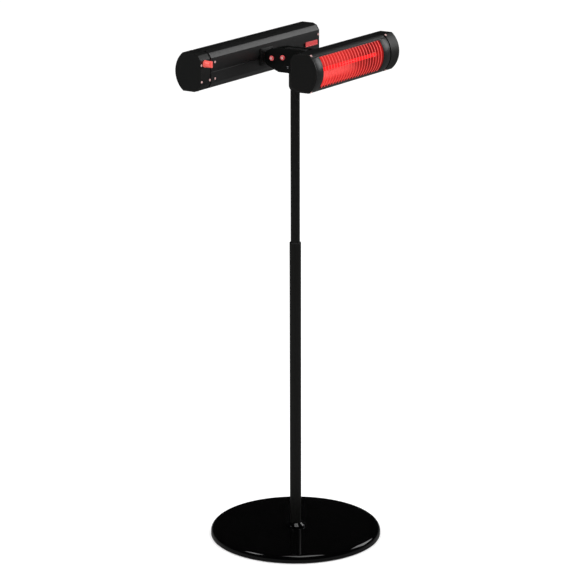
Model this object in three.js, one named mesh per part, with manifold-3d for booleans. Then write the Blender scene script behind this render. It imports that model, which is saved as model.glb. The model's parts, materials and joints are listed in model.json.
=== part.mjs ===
// Free-standing electric outdoor heater: a round weighted base, a two-stage telescopic pole and two
// radiant heads of one design, back to back, each tilting on its own bolt at the top of the pole.
// Units are millimetres, +Z is up, and the origin is the centre of the pad under the base.
// The heads run along X. The front head faces -Y and the rear head faces +Y.

import * as THREE from 'three';
import { mergeVertices } from 'three/addons/utils/BufferGeometryUtils.js';
import Module from 'manifold-3d';

const wasm = await Module();
wasm.setup();

// ---------- driving dimensions ----------

const GAP = 0.3;                  // clearance between neighbouring pieces

const BASE_R = 300;
const BASE_TOP = 29;
const BASE_EDGE_R = 18;           // rounding of the cover's upper edge
const COVER_WALL = 2;
const PAD_R = 292;
const PAD_T = 2;
const RING_SIDES = 60;            // facets round the base
const EDGE = 2;                   // width of a broken edge on turned parts

const LOWER_R = 20;
const UPPER_R = 16;
const TUBE_WALL = 1.6;
const TUBE_SIDES = 28;
const LOWER_TOP = 1060;           // top end of the lower tube
const UPPER_FOOT = 700;           // lower end of the upper tube at rest
const COLLAR_R = 35;
const COLLAR_H = 13;
const COLLAR_RIM_H = 4;
const COLLAR_BEVEL = 3;
const COLLAR_NECK_T = 5;

const HEAD_Z = 1700;              // height of both tilt axes
const PIVOT_Y = 76;               // tilt axis to pole axis
const POLE_BOLT_Y = 32;
const BOLT_R = 5.8;
const BOLT_HEAD_R = 8.5;
const BOLT_HEAD_H = 6.5;
const NUT_R = 10;
const NUT_H = 8;
const BLOCK_HALF_X = 22;
const PLATE_T = 4.2;
const PLATE_TOP = 38;
const PLATE_FOOT = -45;
const POLE_BOLT_Z = 6;            // height of the pole bolts above the tilt axes
const PLATE_NOSE_R = 31;          // rounded end of a bracket plate, about the tilt axis

const HEAD_HALF_Z = 64;           // section of a head, measured from its front chord
const TOP_FLAT = 45;
const SHOULDER = [60, 57.6];      // depth and height of the upper chamfer's top edge
const BACK_HALF_Z = 41.3;
const HEAD_DEPTH = 70.6;
const FRONT_BULGE = 31.2;
const BACK_TO_PIVOT = 42;
const WALL = 2.2;
const LIP_Z = 55;                 // half height of the front window
const CAP_LENGTH = 58;
const END_PLATE_T = 5;
const FRONT_BAND = 42;            // closed band of the guard at the plain end
const SEAM_BAND = 42;             // closed band of the guard beside the control cap
const BAR_PITCH = 17.6;
const BAR_W = 5;
const GUARD_T = 1.6;
const GUARD_RIM = 3;              // strip of the guard left above and below its slots
const LAMP_R = 6;
const LAMP_DEPTH = 8;             // lamp axis behind the front chord
const KNOB_R = 12;
const KNOB_LENGTH = 30;

const HEADS = {                   // both ends of each head, along its own +X, from the pole axis
  rear: { plainEnd: -340, capEnd: 386, turn: Math.PI },
  front: { plainEnd: -212, capEnd: 318, turn: 0 },
};

// ---------- materials ----------

function finish(color, roughness, metalness) {
  return new THREE.MeshStandardMaterial({ color, roughness, metalness });
}

const GLOSS_BLACK = finish(0x0a0a0b, 0.08, 0.1);
const TUBE_BLACK = finish(0x121213, 0.4, 0.3);
const HOUSING_BLACK = finish(0x232324, 0.45, 0.3);
const PLASTIC_BLACK = finish(0x161617, 0.55, 0);
const CONCRETE = finish(0x8a8782, 0.95, 0);
const RUBBER = finish(0x0d0d0d, 0.9, 0);
const STEEL = finish(0x9a9a9c, 0.35, 0.9);
const NYLON = finish(0xcfcabd, 0.6, 0);
const MIRROR = finish(0xd04038, 0.15, 1);
const QUARTZ = finish(0xff6a50, 0.05, 0);
const GLOW = finish(0xff2410, 0.4, 0);
const CERAMIC = finish(0xe6e0d4, 0.6, 0);
const RED = finish(0xe0413c, 0.35, 0);

// ---------- shape helpers ----------

function toSolid(geometry) {
  const bare = geometry.clone();
  bare.deleteAttribute('normal');
  bare.deleteAttribute('uv');
  const merged = mergeVertices(bare, 1e-4);
  const mesh = new wasm.Mesh({
    numProp: 3,
    vertProperties: new Float32Array(merged.attributes.position.array),
    triVerts: new Uint32Array(merged.index.array),
  });
  return new wasm.Manifold(mesh);
}

function toGeometry(solid) {
  const { vertProperties, triVerts } = solid.getMesh();
  const geometry = new THREE.BufferGeometry();
  geometry.setAttribute('position', new THREE.BufferAttribute(vertProperties, 3));
  geometry.setIndex(new THREE.BufferAttribute(triVerts, 1));
  return geometry;
}

function cut(body, ...tools) {
  return toGeometry(tools.reduce((solid, tool) => solid.subtract(toSolid(tool)), toSolid(body)));
}

function join(body, ...extras) {
  return toGeometry(extras.reduce((solid, extra) => solid.add(toSolid(extra)), toSolid(body)));
}

// A box from its lowest to its highest corner.
function block(low, high) {
  const size = high.map((value, i) => value - low[i]);
  const middle = high.map((value, i) => (value + low[i]) / 2);
  return new THREE.BoxGeometry(...size).translate(...middle);
}

// A round bar along an axis: start is the centre of its first end.
function bar(axis, start, radius, length, sides = 20) {
  const geometry = new THREE.CylinderGeometry(radius, radius, length, sides);
  if (axis === 'x') geometry.rotateZ(-Math.PI / 2);
  if (axis === 'z') geometry.rotateX(Math.PI / 2);
  const shift = { x: [length / 2, 0, 0], y: [0, length / 2, 0], z: [0, 0, length / 2] }[axis];
  return geometry.translate(start[0] + shift[0], start[1] + shift[1], start[2] + shift[2]);
}

// A turned piece about Z: the profile is [radius, height] points, closed on itself or on the axis.
function turned(profile, sides) {
  const points = profile.map(([r, z]) => new THREE.Vector2(r, z));
  const onAxis = profile[0][0] === 0 && profile[profile.length - 1][0] === 0;
  if (!onAxis) points.push(points[0].clone());
  return new THREE.LatheGeometry(points, sides).rotateX(Math.PI / 2);
}

// A prism along X over an outline of [y, z] points, counter-clockwise seen from +X.
function prism(outline, x0, x1) {
  const shape = new THREE.Shape(outline.map(([y, z]) => new THREE.Vector2(y, z)));
  const geometry = new THREE.ExtrudeGeometry(shape, { depth: x1 - x0, bevelEnabled: false });
  const yzx = new THREE.Matrix4().makeBasis(
    new THREE.Vector3(0, 1, 0), new THREE.Vector3(0, 0, 1), new THREE.Vector3(1, 0, 0));
  return geometry.applyMatrix4(yzx).translate(x0, 0, 0);
}

function arc(centre, radius, from, to, steps) {
  return Array.from({ length: steps + 1 }, (_, i) => {
    const angle = from + (to - from) * i / steps;
    return [centre[0] + radius * Math.cos(angle), centre[1] + radius * Math.sin(angle)];
  });
}

function tubeBetween(outer, inner, z0, z1, sides = TUBE_SIDES) {
  return turned([[inner, z0], [outer, z0], [outer, z1], [inner, z1]], sides);
}

function add(group, name, geometry, material) {
  const mesh = new THREE.Mesh(geometry, material);
  mesh.name = name;
  group.add(mesh);
  return mesh;
}

// ---------- base and lower tube ----------

const PLATE_BOTTOM = PAD_T + GAP;
const WEIGHT_R = BASE_R - COVER_WALL - GAP;
const WEIGHT_TOP = BASE_TOP - COVER_WALL - GAP;
const BOLT_HOLE_R = 5.4;

// The upper edge of the base as seen in section, at a given inset from the outer skin.
function baseEdge(inset) {
  const centre = [BASE_R - BASE_EDGE_R, BASE_TOP - BASE_EDGE_R];
  return arc(centre, BASE_EDGE_R - inset, 0, Math.PI / 2, 4);
}

function baseCover() {
  const skin = [[BASE_R, PLATE_BOTTOM], ...baseEdge(0), [BOLT_HOLE_R, BASE_TOP]];
  const inner = [[BOLT_HOLE_R, BASE_TOP - COVER_WALL], ...baseEdge(COVER_WALL).reverse(),
    [BASE_R - COVER_WALL, PLATE_BOTTOM]];
  return turned([...skin, ...inner], RING_SIDES);
}

const POCKET_R = 17;
const POCKET_TOP = 15;
const WASHER_T = 2;
const WASHER_R = 14;
const BASE_BOLT_R = 5;
const BASE_BOLT_HEAD_R = 8.5;
const BASE_BOLT_HEAD_H = 6.4;
const BASE_BOLT_TOP = 62;
const PLUG_TOP = 68;

function baseWeight() {
  return turned([[POCKET_R, PLATE_BOTTOM], [WEIGHT_R, PLATE_BOTTOM], ...baseEdge(COVER_WALL + GAP),
    [BOLT_HOLE_R, WEIGHT_TOP], [BOLT_HOLE_R, POCKET_TOP], [POCKET_R, POCKET_TOP]], RING_SIDES);
}

function baseBolt() {
  const headTop = POCKET_TOP - WASHER_T - 2 * GAP;
  const headFoot = headTop - BASE_BOLT_HEAD_H;
  return turned([[0, headFoot], [BASE_BOLT_HEAD_R, headFoot], [BASE_BOLT_HEAD_R, headTop],
    [BASE_BOLT_R, headTop], [BASE_BOLT_R, BASE_BOLT_TOP], [0, BASE_BOLT_TOP]], 24);
}

function footCollar() {
  const foot = BASE_TOP + GAP;
  const top = foot + COLLAR_H;
  const bore = LOWER_R + GAP;
  const neck = bore + COLLAR_NECK_T;
  const rimTop = foot + COLLAR_RIM_H;
  return turned([[bore, foot], [COLLAR_R, foot], [COLLAR_R, rimTop],
    [COLLAR_R - COLLAR_BEVEL, rimTop + COLLAR_BEVEL], [neck, top - EDGE], [neck - EDGE, top], [bore, top]],
  TUBE_SIDES);
}

const BUSH_FLANGE_H = 5;
const BUSH_SLEEVE = 70;

function guideBush() {
  const seat = LOWER_TOP + GAP;
  const top = seat + BUSH_FLANGE_H;
  const bore = UPPER_R + GAP;
  const sleeve = LOWER_R - TUBE_WALL - GAP;
  return turned([[bore, seat - BUSH_SLEEVE], [sleeve, seat - BUSH_SLEEVE], [sleeve, seat], [LOWER_R, seat],
    [LOWER_R, top - EDGE], [LOWER_R - EDGE, top], [bore, top]], TUBE_SIDES);
}

const heater = new THREE.Group();
const stand = new THREE.Group();
heater.add(stand);

const tubeFoot = BASE_TOP + GAP;
const plugR = LOWER_R - TUBE_WALL - GAP;
const washerTop = POCKET_TOP - GAP;

add(stand, 'base_pad', turned([[0, 0], [PAD_R, 0], [PAD_R, PAD_T], [0, PAD_T]], RING_SIDES), RUBBER);
add(stand, 'base_cover', baseCover(), GLOSS_BLACK);
add(stand, 'base_weight', baseWeight(), CONCRETE);
add(stand, 'base_washer', tubeBetween(WASHER_R, BOLT_HOLE_R, washerTop - WASHER_T, washerTop, 24), STEEL);
add(stand, 'base_bolt', baseBolt(), STEEL);
add(stand, 'foot_plug', tubeBetween(plugR, BOLT_HOLE_R, tubeFoot, PLUG_TOP), STEEL);
add(stand, 'foot_collar', footCollar(), GLOSS_BLACK);
add(stand, 'lower_tube', tubeBetween(LOWER_R, LOWER_R - TUBE_WALL, tubeFoot, LOWER_TOP), TUBE_BLACK);
add(stand, 'guide_bush', guideBush(), PLASTIC_BLACK);

// ---------- twist lock inside the lower tube ----------

const STUD_R = 5;
const LOCK_TOP = UPPER_FOOT - 10;
const LOCK_FOOT = LOCK_TOP - 45;
const LOCK_SLIT = 2;
const PLUG_FLANGE_H = 6;
const PLUG_REACH = 30;            // how far the end plug stands inside the upper tube

// The nylon plug swells when the stud is screwed into it. The slit lets it open.
function lockPlug() {
  const body = tubeBetween(plugR, STUD_R + GAP, LOCK_FOOT, LOCK_TOP);
  return cut(body, block([0, -LOCK_SLIT / 2, LOCK_FOOT - 1], [plugR + 1, LOCK_SLIT / 2, LOCK_TOP + 1]));
}

function mastEndPlug() {
  const inside = UPPER_R - TUBE_WALL - GAP;
  const flangeTop = UPPER_FOOT - GAP;
  const flangeFoot = flangeTop - PLUG_FLANGE_H;
  const plugTop = UPPER_FOOT + PLUG_REACH;
  return turned([[0, LOCK_FOOT], [STUD_R, LOCK_FOOT], [STUD_R, flangeFoot], [UPPER_R, flangeFoot],
    [UPPER_R, flangeTop], [inside, flangeTop], [inside, plugTop], [0, plugTop]], TUBE_SIDES);
}

// ---------- upper tube, pole head and bracket ----------

const BLOCK_HALF_Y = 48;
const BLOCK_TOP = 34;
const BLOCK_FOOT = -38;
const BLOCK_CHAMFER = 8;
const SOCKET_TOP = 20;
const NECK_R = 21.5;
const NECK_FOOT = 102;            // lower end of the neck, below the tilt axes
const NECK_TAPER = 10;
const NECK_LIP = 1.5;             // how far the neck's lower end stands out from the tube
const OVERLAP = 2;                // how deep joined shapes run into each other
const PLATE_SQUARE_Y = 50;        // where a plate begins to narrow towards its nose
const NOSE_TURN = 0.15;           // share of the corner's angle that is taken off the nose's arc

function poleHead() {
  const flatY = BLOCK_HALF_Y - BLOCK_CHAMFER;
  const lowZ = BLOCK_FOOT + BLOCK_CHAMFER;
  const highZ = BLOCK_TOP - BLOCK_CHAMFER;
  const outline = [
    [-BLOCK_HALF_Y, lowZ], [-flatY, BLOCK_FOOT], [flatY, BLOCK_FOOT], [BLOCK_HALF_Y, lowZ],
    [BLOCK_HALF_Y, highZ], [flatY, BLOCK_TOP], [-flatY, BLOCK_TOP], [-BLOCK_HALF_Y, highZ]];
  const body = prism(outline, -BLOCK_HALF_X, BLOCK_HALF_X);
  const neckTop = BLOCK_FOOT + OVERLAP;
  const neck = turned([[0, -NECK_FOOT], [UPPER_R + NECK_LIP, -NECK_FOOT], [NECK_R, -NECK_FOOT + NECK_TAPER],
    [NECK_R, neckTop], [0, neckTop]], TUBE_SIDES);
  const socketDepth = SOCKET_TOP + NECK_FOOT + 1;
  const socket = bar('z', [0, 0, SOCKET_TOP - socketDepth], UPPER_R + GAP, socketDepth, TUBE_SIDES);
  const holes = [-POLE_BOLT_Y, POLE_BOLT_Y].map(
    (y) => bar('x', [-BLOCK_HALF_X - 1, y, POLE_BOLT_Z], BOLT_R + GAP, 2 * BLOCK_HALF_X + 2));
  return cut(join(body, neck), socket, ...holes);
}

// Places of the four bolts through a bracket plate, as [y, z].
const BOLT_PLACES = {
  rear_pole: [POLE_BOLT_Y, POLE_BOLT_Z],
  front_pole: [-POLE_BOLT_Y, POLE_BOLT_Z],
  rear_pivot: [PIVOT_Y, 0],
  front_pivot: [-PIVOT_Y, 0],
};

// Where the arc of a nose ends, measured from level, beside a corner at a given height.
function noseSweep(height) {
  return Math.PI / 2 - NOSE_TURN * Math.atan2(Math.abs(height), PIVOT_Y - PLATE_SQUARE_Y);
}

function bracketPlate() {
  const below = noseSweep(PLATE_FOOT);
  const above = noseSweep(PLATE_TOP);
  const outline = [
    [-PLATE_SQUARE_Y, PLATE_FOOT], [PLATE_SQUARE_Y, PLATE_FOOT],
    ...arc([PIVOT_Y, 0], PLATE_NOSE_R, -below, above, 8),
    [PLATE_SQUARE_Y, PLATE_TOP], [-PLATE_SQUARE_Y, PLATE_TOP],
    ...arc([-PIVOT_Y, 0], PLATE_NOSE_R, Math.PI - above, Math.PI + below, 8)];
  const holes = Object.values(BOLT_PLACES).map(([y, z]) => bar('x', [-1, y, z], BOLT_R + GAP, PLATE_T + 2));
  return cut(prism(outline, 0, PLATE_T), ...holes);
}

const PLATE_INNER_X = BLOCK_HALF_X + GAP;
const PLATE_OUTER_X = PLATE_INNER_X + PLATE_T;
const BOLT_TIP = 3;               // thread that shows past a nut

function crossBolt() {
  const underHead = -PLATE_OUTER_X - GAP;
  const shankEnd = PLATE_OUTER_X + NUT_H + BOLT_TIP;
  const head = bar('x', [underHead - BOLT_HEAD_H, 0, 0], BOLT_HEAD_R, BOLT_HEAD_H);
  return join(head, bar('x', [underHead - 1, 0, 0], BOLT_R, shankEnd - underHead + 1));
}

function crossNut() {
  const body = bar('x', [PLATE_OUTER_X + GAP, 0, 0], NUT_R, NUT_H, 6);
  return cut(body, bar('x', [PLATE_OUTER_X - 1, 0, 0], BOLT_R + GAP, NUT_H + 2));
}

const lock = new THREE.Group();
const mast = new THREE.Group();
heater.add(lock, mast);
add(lock, 'lock_plug', lockPlug(), NYLON);
add(mast, 'mast_end_plug', mastEndPlug(), STEEL);
const upperTop = HEAD_Z + SOCKET_TOP - GAP;
add(mast, 'upper_tube', tubeBetween(UPPER_R, UPPER_R - TUBE_WALL, UPPER_FOOT, upperTop), TUBE_BLACK);

const crosshead = new THREE.Group();
crosshead.position.z = HEAD_Z;
mast.add(crosshead);
add(crosshead, 'pole_head', poleHead(), PLASTIC_BLACK);
add(crosshead, 'bracket_plate_left', bracketPlate(), TUBE_BLACK).position.x = -PLATE_OUTER_X;
add(crosshead, 'bracket_plate_right', bracketPlate(), TUBE_BLACK).position.x = PLATE_INNER_X;
for (const [place, [y, z]] of Object.entries(BOLT_PLACES)) {
  add(crosshead, `${place}_bolt`, crossBolt(), RED).position.set(0, y, z);
  add(crosshead, `${place}_nut`, crossNut(), STEEL).position.set(0, y, z);
}

// ---------- one radiant head, facing -Y, with its tilt axis along X through the origin ----------

const BACK_Y = -BACK_TO_PIVOT;
const CHORD_Y = BACK_Y - HEAD_DEPTH;
const ARC_R = (HEAD_HALF_Z ** 2 + FRONT_BULGE ** 2) / (2 * FRONT_BULGE);
const ARC_CENTRE = [CHORD_Y - FRONT_BULGE + ARC_R, 0];
const INNER_BACK_Y = BACK_Y - WALL;
const FRONT_CUT_Y = CHORD_Y + 5;  // how deep the window and the guard's slots are cut

// Half angle of the front arc where it reaches a given height.
function arcAngle(halfHeight, radius = ARC_R) {
  return Math.asin(halfHeight / radius);
}

// Shares of an inset by which each corner of the section slides along its neighbouring face.
const BACK_SLIDE = 0.4;
const SHOULDER_SLIDE = 0.7;
const TOP_SLIDE = 0.2;

// The closed section of a head, drawn in by an inset on every side.
function section(inset) {
  const top = HEAD_HALF_Z - inset;
  const radius = ARC_R - inset;
  const half = arcAngle(top, radius);
  const [shoulderDepth, shoulderZ] = SHOULDER;
  const upperBack = [
    [BACK_Y - inset, BACK_HALF_Z - BACK_SLIDE * inset],
    [CHORD_Y + shoulderDepth - SHOULDER_SLIDE * inset, shoulderZ - SHOULDER_SLIDE * inset],
    [CHORD_Y + TOP_FLAT - TOP_SLIDE * inset, top]];
  const lowerBack = upperBack.map(([y, z]) => [y, -z]).reverse();
  return [...lowerBack, ...upperBack, ...arc(ARC_CENTRE, radius, Math.PI - half, Math.PI + half, 12)];
}

// A curved sheet behind the front arc, as an outline of [y, z] points.
function arcBand(outerR, innerR, halfHeight, steps) {
  const outer = arcAngle(halfHeight, outerR);
  const inner = arcAngle(halfHeight, innerR);
  return [...arc(ARC_CENTRE, outerR, Math.PI - outer, Math.PI + outer, steps),
    ...arc(ARC_CENTRE, innerR, Math.PI + inner, Math.PI - inner, steps)];
}

const SLOT_HALF_Z = 6;
const SLOT_DEPTH = 4;

// The extruded shell: open at the front between two lips, with one mounting groove along the back.
function housing(x0, x1) {
  const shell = cut(prism(section(0), x0, x1), prism(section(WALL), x0 - 1, x1 + 1));
  const rib = block([x0, BACK_Y - SLOT_DEPTH - WALL, -SLOT_HALF_Z - WALL],
    [x1, BACK_Y - WALL / 2, SLOT_HALF_Z + WALL]);
  const groove = block([x0 - 1, BACK_Y - SLOT_DEPTH, -SLOT_HALF_Z], [x1 + 1, BACK_Y + 1, SLOT_HALF_Z]);
  const window = block([x0 - 1, CHORD_Y - FRONT_BULGE - 1, -LIP_Z], [x1 + 1, FRONT_CUT_Y, LIP_Z]);
  return cut(join(shell, rib), groove, window);
}

// The curved guard: a sheet with one slot between each pair of bars.
function guard(x0, x1, slots0, slots1) {
  const sheet = prism(arcBand(ARC_R - GAP, ARC_R - GAP - GUARD_T, LIP_Z - GAP, 6), x0, x1);
  const count = Math.round((slots1 - slots0) / BAR_PITCH);
  const pitch = (slots1 - slots0) / count;
  const slots = Array.from({ length: count }, (_, i) => {
    const start = slots0 + pitch * i + BAR_W / 2;
    return block([start, CHORD_Y - FRONT_BULGE - 1, -LIP_Z + GUARD_RIM],
      [start + pitch - BAR_W, FRONT_CUT_Y, LIP_Z - GUARD_RIM]);
  });
  return cut(sheet, ...slots);
}

const MIRROR_HALF_Z = 50;
const MIRROR_DEPTH = 38;
const MIRROR_T = 1;
const MIRROR_MOUTH_Y = CHORD_Y - 2;
const MIRROR_STEPS = 12;

// A parabolic trough with its mouth just behind the guard.
function reflector(x0, x1) {
  const side = (offset) => Array.from({ length: MIRROR_STEPS + 1 }, (_, i) => {
    const share = 2 * i / MIRROR_STEPS - 1;
    return [MIRROR_MOUTH_Y + (MIRROR_DEPTH + offset) * (1 - share ** 2), share * (MIRROR_HALF_Z + offset)];
  });
  return prism([...side(MIRROR_T), ...side(0).reverse()], x0, x1);
}

const LAMP_Y = CHORD_Y + LAMP_DEPTH;
const HOLDER_W = 22;
const HOLDER_HALF = 12;
const LEG_INSET = 5;
const LEG_HALF_Z = 7;
const BORE_FLOOR = 8;
const LAMP_END = 9;               // where the lamp ends, from a holder's closed side
const QUARTZ_T = 1.2;
const FILAMENT_R = 2.5;
const FILAMENT_END = 10;

// A ceramic block on a leg from the back wall. The lamp's end sits in a blind bore facing the middle.
function lampHolder(x0, mouthSide) {
  const body = block([x0, LAMP_Y - HOLDER_HALF, -HOLDER_HALF],
    [x0 + HOLDER_W, LAMP_Y + HOLDER_HALF, HOLDER_HALF]);
  const legEnd = INNER_BACK_Y - SLOT_DEPTH - GAP;
  const leg = block([x0 + LEG_INSET, LAMP_Y + HOLDER_HALF - 1, -LEG_HALF_Z],
    [x0 + HOLDER_W - LEG_INSET, legEnd, LEG_HALF_Z]);
  const boreStart = mouthSide > 0 ? x0 + BORE_FLOOR : x0 - 1;
  return cut(join(body, leg), bar('x', [boreStart, LAMP_Y, 0], LAMP_R + GAP, HOLDER_W - BORE_FLOOR + 1));
}

function lampTube(x0, x1) {
  const outer = bar('x', [x0, LAMP_Y, 0], LAMP_R, x1 - x0);
  return cut(outer, bar('x', [x0 - 1, LAMP_Y, 0], LAMP_R - QUARTZ_T, x1 - x0 + 2));
}

const KNOB_X = -23;               // knob axis from the head's outer end
const KNOB_Z = 29;
const SPINDLE_R = 3;
const SPINDLE_DEPTH = 16;         // how far the spindle reaches in from the back
const KNOB_GAP = 1;
const KNOB_TAPER = 1;
const GRIP_RISE = 7;              // the grip bar stands this far above the knob's body
const GRIP_SEAT = 8;
const GRIP_HALF_W = 2.5;
const GRIP_INSET = 1.2;
const CAP_WALL = 2.6;
const CAP_FACE_T = 3;
const GLAND_Y = CHORD_Y + 32;
const GLAND_NECK_R = 8;

function controlCap(x0, x1) {
  const shell = cut(prism(section(0), x0, x1), prism(section(CAP_WALL), x0 - 1, x1 - CAP_FACE_T));
  const spindleHole = bar('y', [x1 + KNOB_X, BACK_Y - CAP_WALL - 1, KNOB_Z], SPINDLE_R + GAP, CAP_WALL + 2);
  const glandHole = bar('z', [(x0 + x1) / 2, GLAND_Y, -HEAD_HALF_Z - 1], GLAND_NECK_R + GAP, CAP_WALL + 2);
  return cut(shell, spindleHole, glandHole);
}

// A tapered knob with a grip bar and its spindle, turning about Y.
function knob() {
  const foot = BACK_Y + KNOB_GAP;
  const bodyLength = KNOB_LENGTH - GRIP_RISE;
  const body = new THREE.CylinderGeometry(KNOB_R - KNOB_TAPER, KNOB_R, bodyLength, 24)
    .translate(0, foot + bodyLength / 2, 0);
  const grip = block([-GRIP_HALF_W, foot + GRIP_SEAT, -KNOB_R + GRIP_INSET],
    [GRIP_HALF_W, foot + KNOB_LENGTH, KNOB_R - GRIP_INSET]);
  const spindle = bar('y', [0, BACK_Y - SPINDLE_DEPTH, 0], SPINDLE_R, SPINDLE_DEPTH + KNOB_GAP + OVERLAP, 16);
  return join(body, grip, spindle);
}

const SWITCH_DEPTH = 20;
const SWITCH_HALF_W = 14;
const SWITCH_ABOVE = 8;           // height of the switch above and below its spindle
const SWITCH_BELOW = 16;

function switchBody() {
  const front = BACK_Y - CAP_WALL - GAP;
  const body = block([-SWITCH_HALF_W, front - SWITCH_DEPTH, -SWITCH_BELOW],
    [SWITCH_HALF_W, front, SWITCH_ABOVE]);
  return cut(body, bar('y', [0, BACK_Y - SPINDLE_DEPTH - 1, 0], SPINDLE_R + GAP, SPINDLE_DEPTH + 1, 16));
}

const GLAND_BORE_R = 4.5;
const GLAND_FLANGE_R = 11;
const GLAND_FLANGE_H = 2.4;
const GLAND_REACH = 14;

function gland() {
  const face = -HEAD_HALF_Z;
  const flangeFoot = face - GLAND_FLANGE_H;
  const neckTop = face + GLAND_REACH;
  return turned([[GLAND_BORE_R, flangeFoot], [GLAND_FLANGE_R, flangeFoot], [GLAND_FLANGE_R, face - GAP],
    [GLAND_NECK_R, face - GAP], [GLAND_NECK_R, neckTop], [GLAND_BORE_R, neckTop]], 24);
}

const LUG_R = 14;
const FLANGE_T = 6;
const FLANGE_HALF_X = 38;
const FLANGE_HALF_Z = 30;

// The tilting lug: a flange on the head's back and an eye round the tilt bolt.
function lug() {
  const flangeFoot = BACK_Y + GAP;
  const flange = block([-FLANGE_HALF_X, flangeFoot, -FLANGE_HALF_Z],
    [FLANGE_HALF_X, flangeFoot + FLANGE_T, FLANGE_HALF_Z]);
  const eye = prism([[flangeFoot + 1, -LUG_R], ...arc([0, 0], LUG_R, -Math.PI / 2, Math.PI / 2, 12),
    [flangeFoot + 1, LUG_R]], -BLOCK_HALF_X, BLOCK_HALF_X);
  return cut(join(flange, eye), bar('x', [-FLANGE_HALF_X - 1, 0, 0], BOLT_R + GAP, 2 * FLANGE_HALF_X + 2));
}

const BULKHEAD_HALF_T = 1;
const BULKHEAD_INSET = 2;
const BADGE_START = 14;           // ends of the badge, from the plain end
const BADGE_END = 90;
const BADGE_HALF_Z = 8.5;
const BADGE_T = 1.5;
const TERMINAL_GAP = 0.5;
const TERMINAL_LENGTH = 14.5;
const TERMINAL_HALF_Z = 20;

// The nylon block that joins the supply to the lamp's leads, beside the bulkhead.
function terminalBlock(x0) {
  const front = CHORD_Y + 14;
  return block([x0, front, -TERMINAL_HALF_Z], [x0 + TERMINAL_LENGTH, front + 20, TERMINAL_HALF_Z]);
}

function radiantHead(name, { plainEnd, capEnd }) {
  const head = new THREE.Group();
  const put = (piece, geometry, material) => add(head, `${name}_${piece}`, geometry, material);
  const seam = capEnd - CAP_LENGTH;
  const shell0 = plainEnd + END_PLATE_T + GAP;
  const shell1 = seam - BULKHEAD_HALF_T - GAP;
  const cap0 = seam + BULKHEAD_HALF_T + GAP;
  const slots0 = plainEnd + FRONT_BAND;
  const slots1 = seam - SEAM_BAND;
  const holder0 = slots0 - HOLDER_W - 2;
  const holder1 = slots1 + 1;

  put('housing', housing(shell0, shell1), HOUSING_BLACK);
  put('end_plate', prism(section(0), plainEnd, plainEnd + END_PLATE_T), PLASTIC_BLACK);
  put('bulkhead', prism(section(BULKHEAD_INSET), seam - BULKHEAD_HALF_T, seam + BULKHEAD_HALF_T),
    PLASTIC_BLACK);
  put('control_cap', controlCap(cap0, capEnd), PLASTIC_BLACK);
  put('guard', guard(shell0, shell1, slots0, slots1), STEEL);
  put('reflector', reflector(holder0 + HOLDER_W + GAP, holder1 - GAP), MIRROR);
  put('lamp_holder_outer', lampHolder(holder0, 1), CERAMIC);
  put('lamp_holder_inner', lampHolder(holder1, -1), CERAMIC);
  put('lamp_tube', lampTube(holder0 + LAMP_END, holder1 + HOLDER_W - LAMP_END), QUARTZ);
  const wireLength = holder1 - holder0 + HOLDER_W - 2 * FILAMENT_END;
  put('filament', bar('x', [holder0 + FILAMENT_END, LAMP_Y, 0], FILAMENT_R, wireLength, 12), GLOW);
  put('badge', block([plainEnd + BADGE_START, BACK_Y + GAP, -BADGE_HALF_Z],
    [plainEnd + BADGE_END, BACK_Y + GAP + BADGE_T, BADGE_HALF_Z]), RED);
  put('lug', lug(), TUBE_BLACK);
  put('switch', switchBody().translate(capEnd + KNOB_X, 0, KNOB_Z), NYLON);
  put('knob', knob().translate(capEnd + KNOB_X, 0, KNOB_Z), RED);
  put('terminal_block', terminalBlock(seam + BULKHEAD_HALF_T + TERMINAL_GAP), NYLON);
  put('gland', gland().translate((cap0 + capEnd) / 2, GLAND_Y, 0), PLASTIC_BLACK);
  return head;
}

for (const [name, spec] of Object.entries(HEADS)) {
  const head = radiantHead(name, spec);
  head.rotation.z = spec.turn;
  head.position.set(0, spec.turn ? PIVOT_Y : -PIVOT_Y, HEAD_Z);
  heater.add(head);
}

export default heater;
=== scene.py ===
# A free-standing electric outdoor heater: a gloss black weighted base, a telescopic pole and two radiant
# heads back to back. Everything is in metres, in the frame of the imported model: +Z is up, the heads run
# along X, the front head faces -Y and the rear head +Y. Places come from the frame's own pieces.

import json
import math

import bmesh
import bpy
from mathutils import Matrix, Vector


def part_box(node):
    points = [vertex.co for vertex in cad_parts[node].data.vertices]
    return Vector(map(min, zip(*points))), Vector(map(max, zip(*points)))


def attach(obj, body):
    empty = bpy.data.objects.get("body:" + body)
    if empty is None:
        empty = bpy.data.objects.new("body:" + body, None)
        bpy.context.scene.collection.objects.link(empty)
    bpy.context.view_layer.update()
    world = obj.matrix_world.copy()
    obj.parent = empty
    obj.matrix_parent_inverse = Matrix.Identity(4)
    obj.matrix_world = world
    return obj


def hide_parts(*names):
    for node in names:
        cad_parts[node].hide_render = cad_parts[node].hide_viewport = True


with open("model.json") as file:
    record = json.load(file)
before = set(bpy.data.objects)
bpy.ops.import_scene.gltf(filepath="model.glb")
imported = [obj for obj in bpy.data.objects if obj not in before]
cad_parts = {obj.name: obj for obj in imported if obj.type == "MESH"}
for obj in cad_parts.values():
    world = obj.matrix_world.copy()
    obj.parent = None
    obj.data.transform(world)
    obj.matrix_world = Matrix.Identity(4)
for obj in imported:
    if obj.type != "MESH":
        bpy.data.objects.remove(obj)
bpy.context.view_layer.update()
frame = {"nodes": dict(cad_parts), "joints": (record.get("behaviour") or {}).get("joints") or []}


# ---------------- camera, floor and light
# A long lens looks down at the heater from its left front. The floor and the background are plain
# white paper, which looks dim in reflections so that black paint stays black. Soft boxes on both sides
# draw the long highlights.

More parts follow.
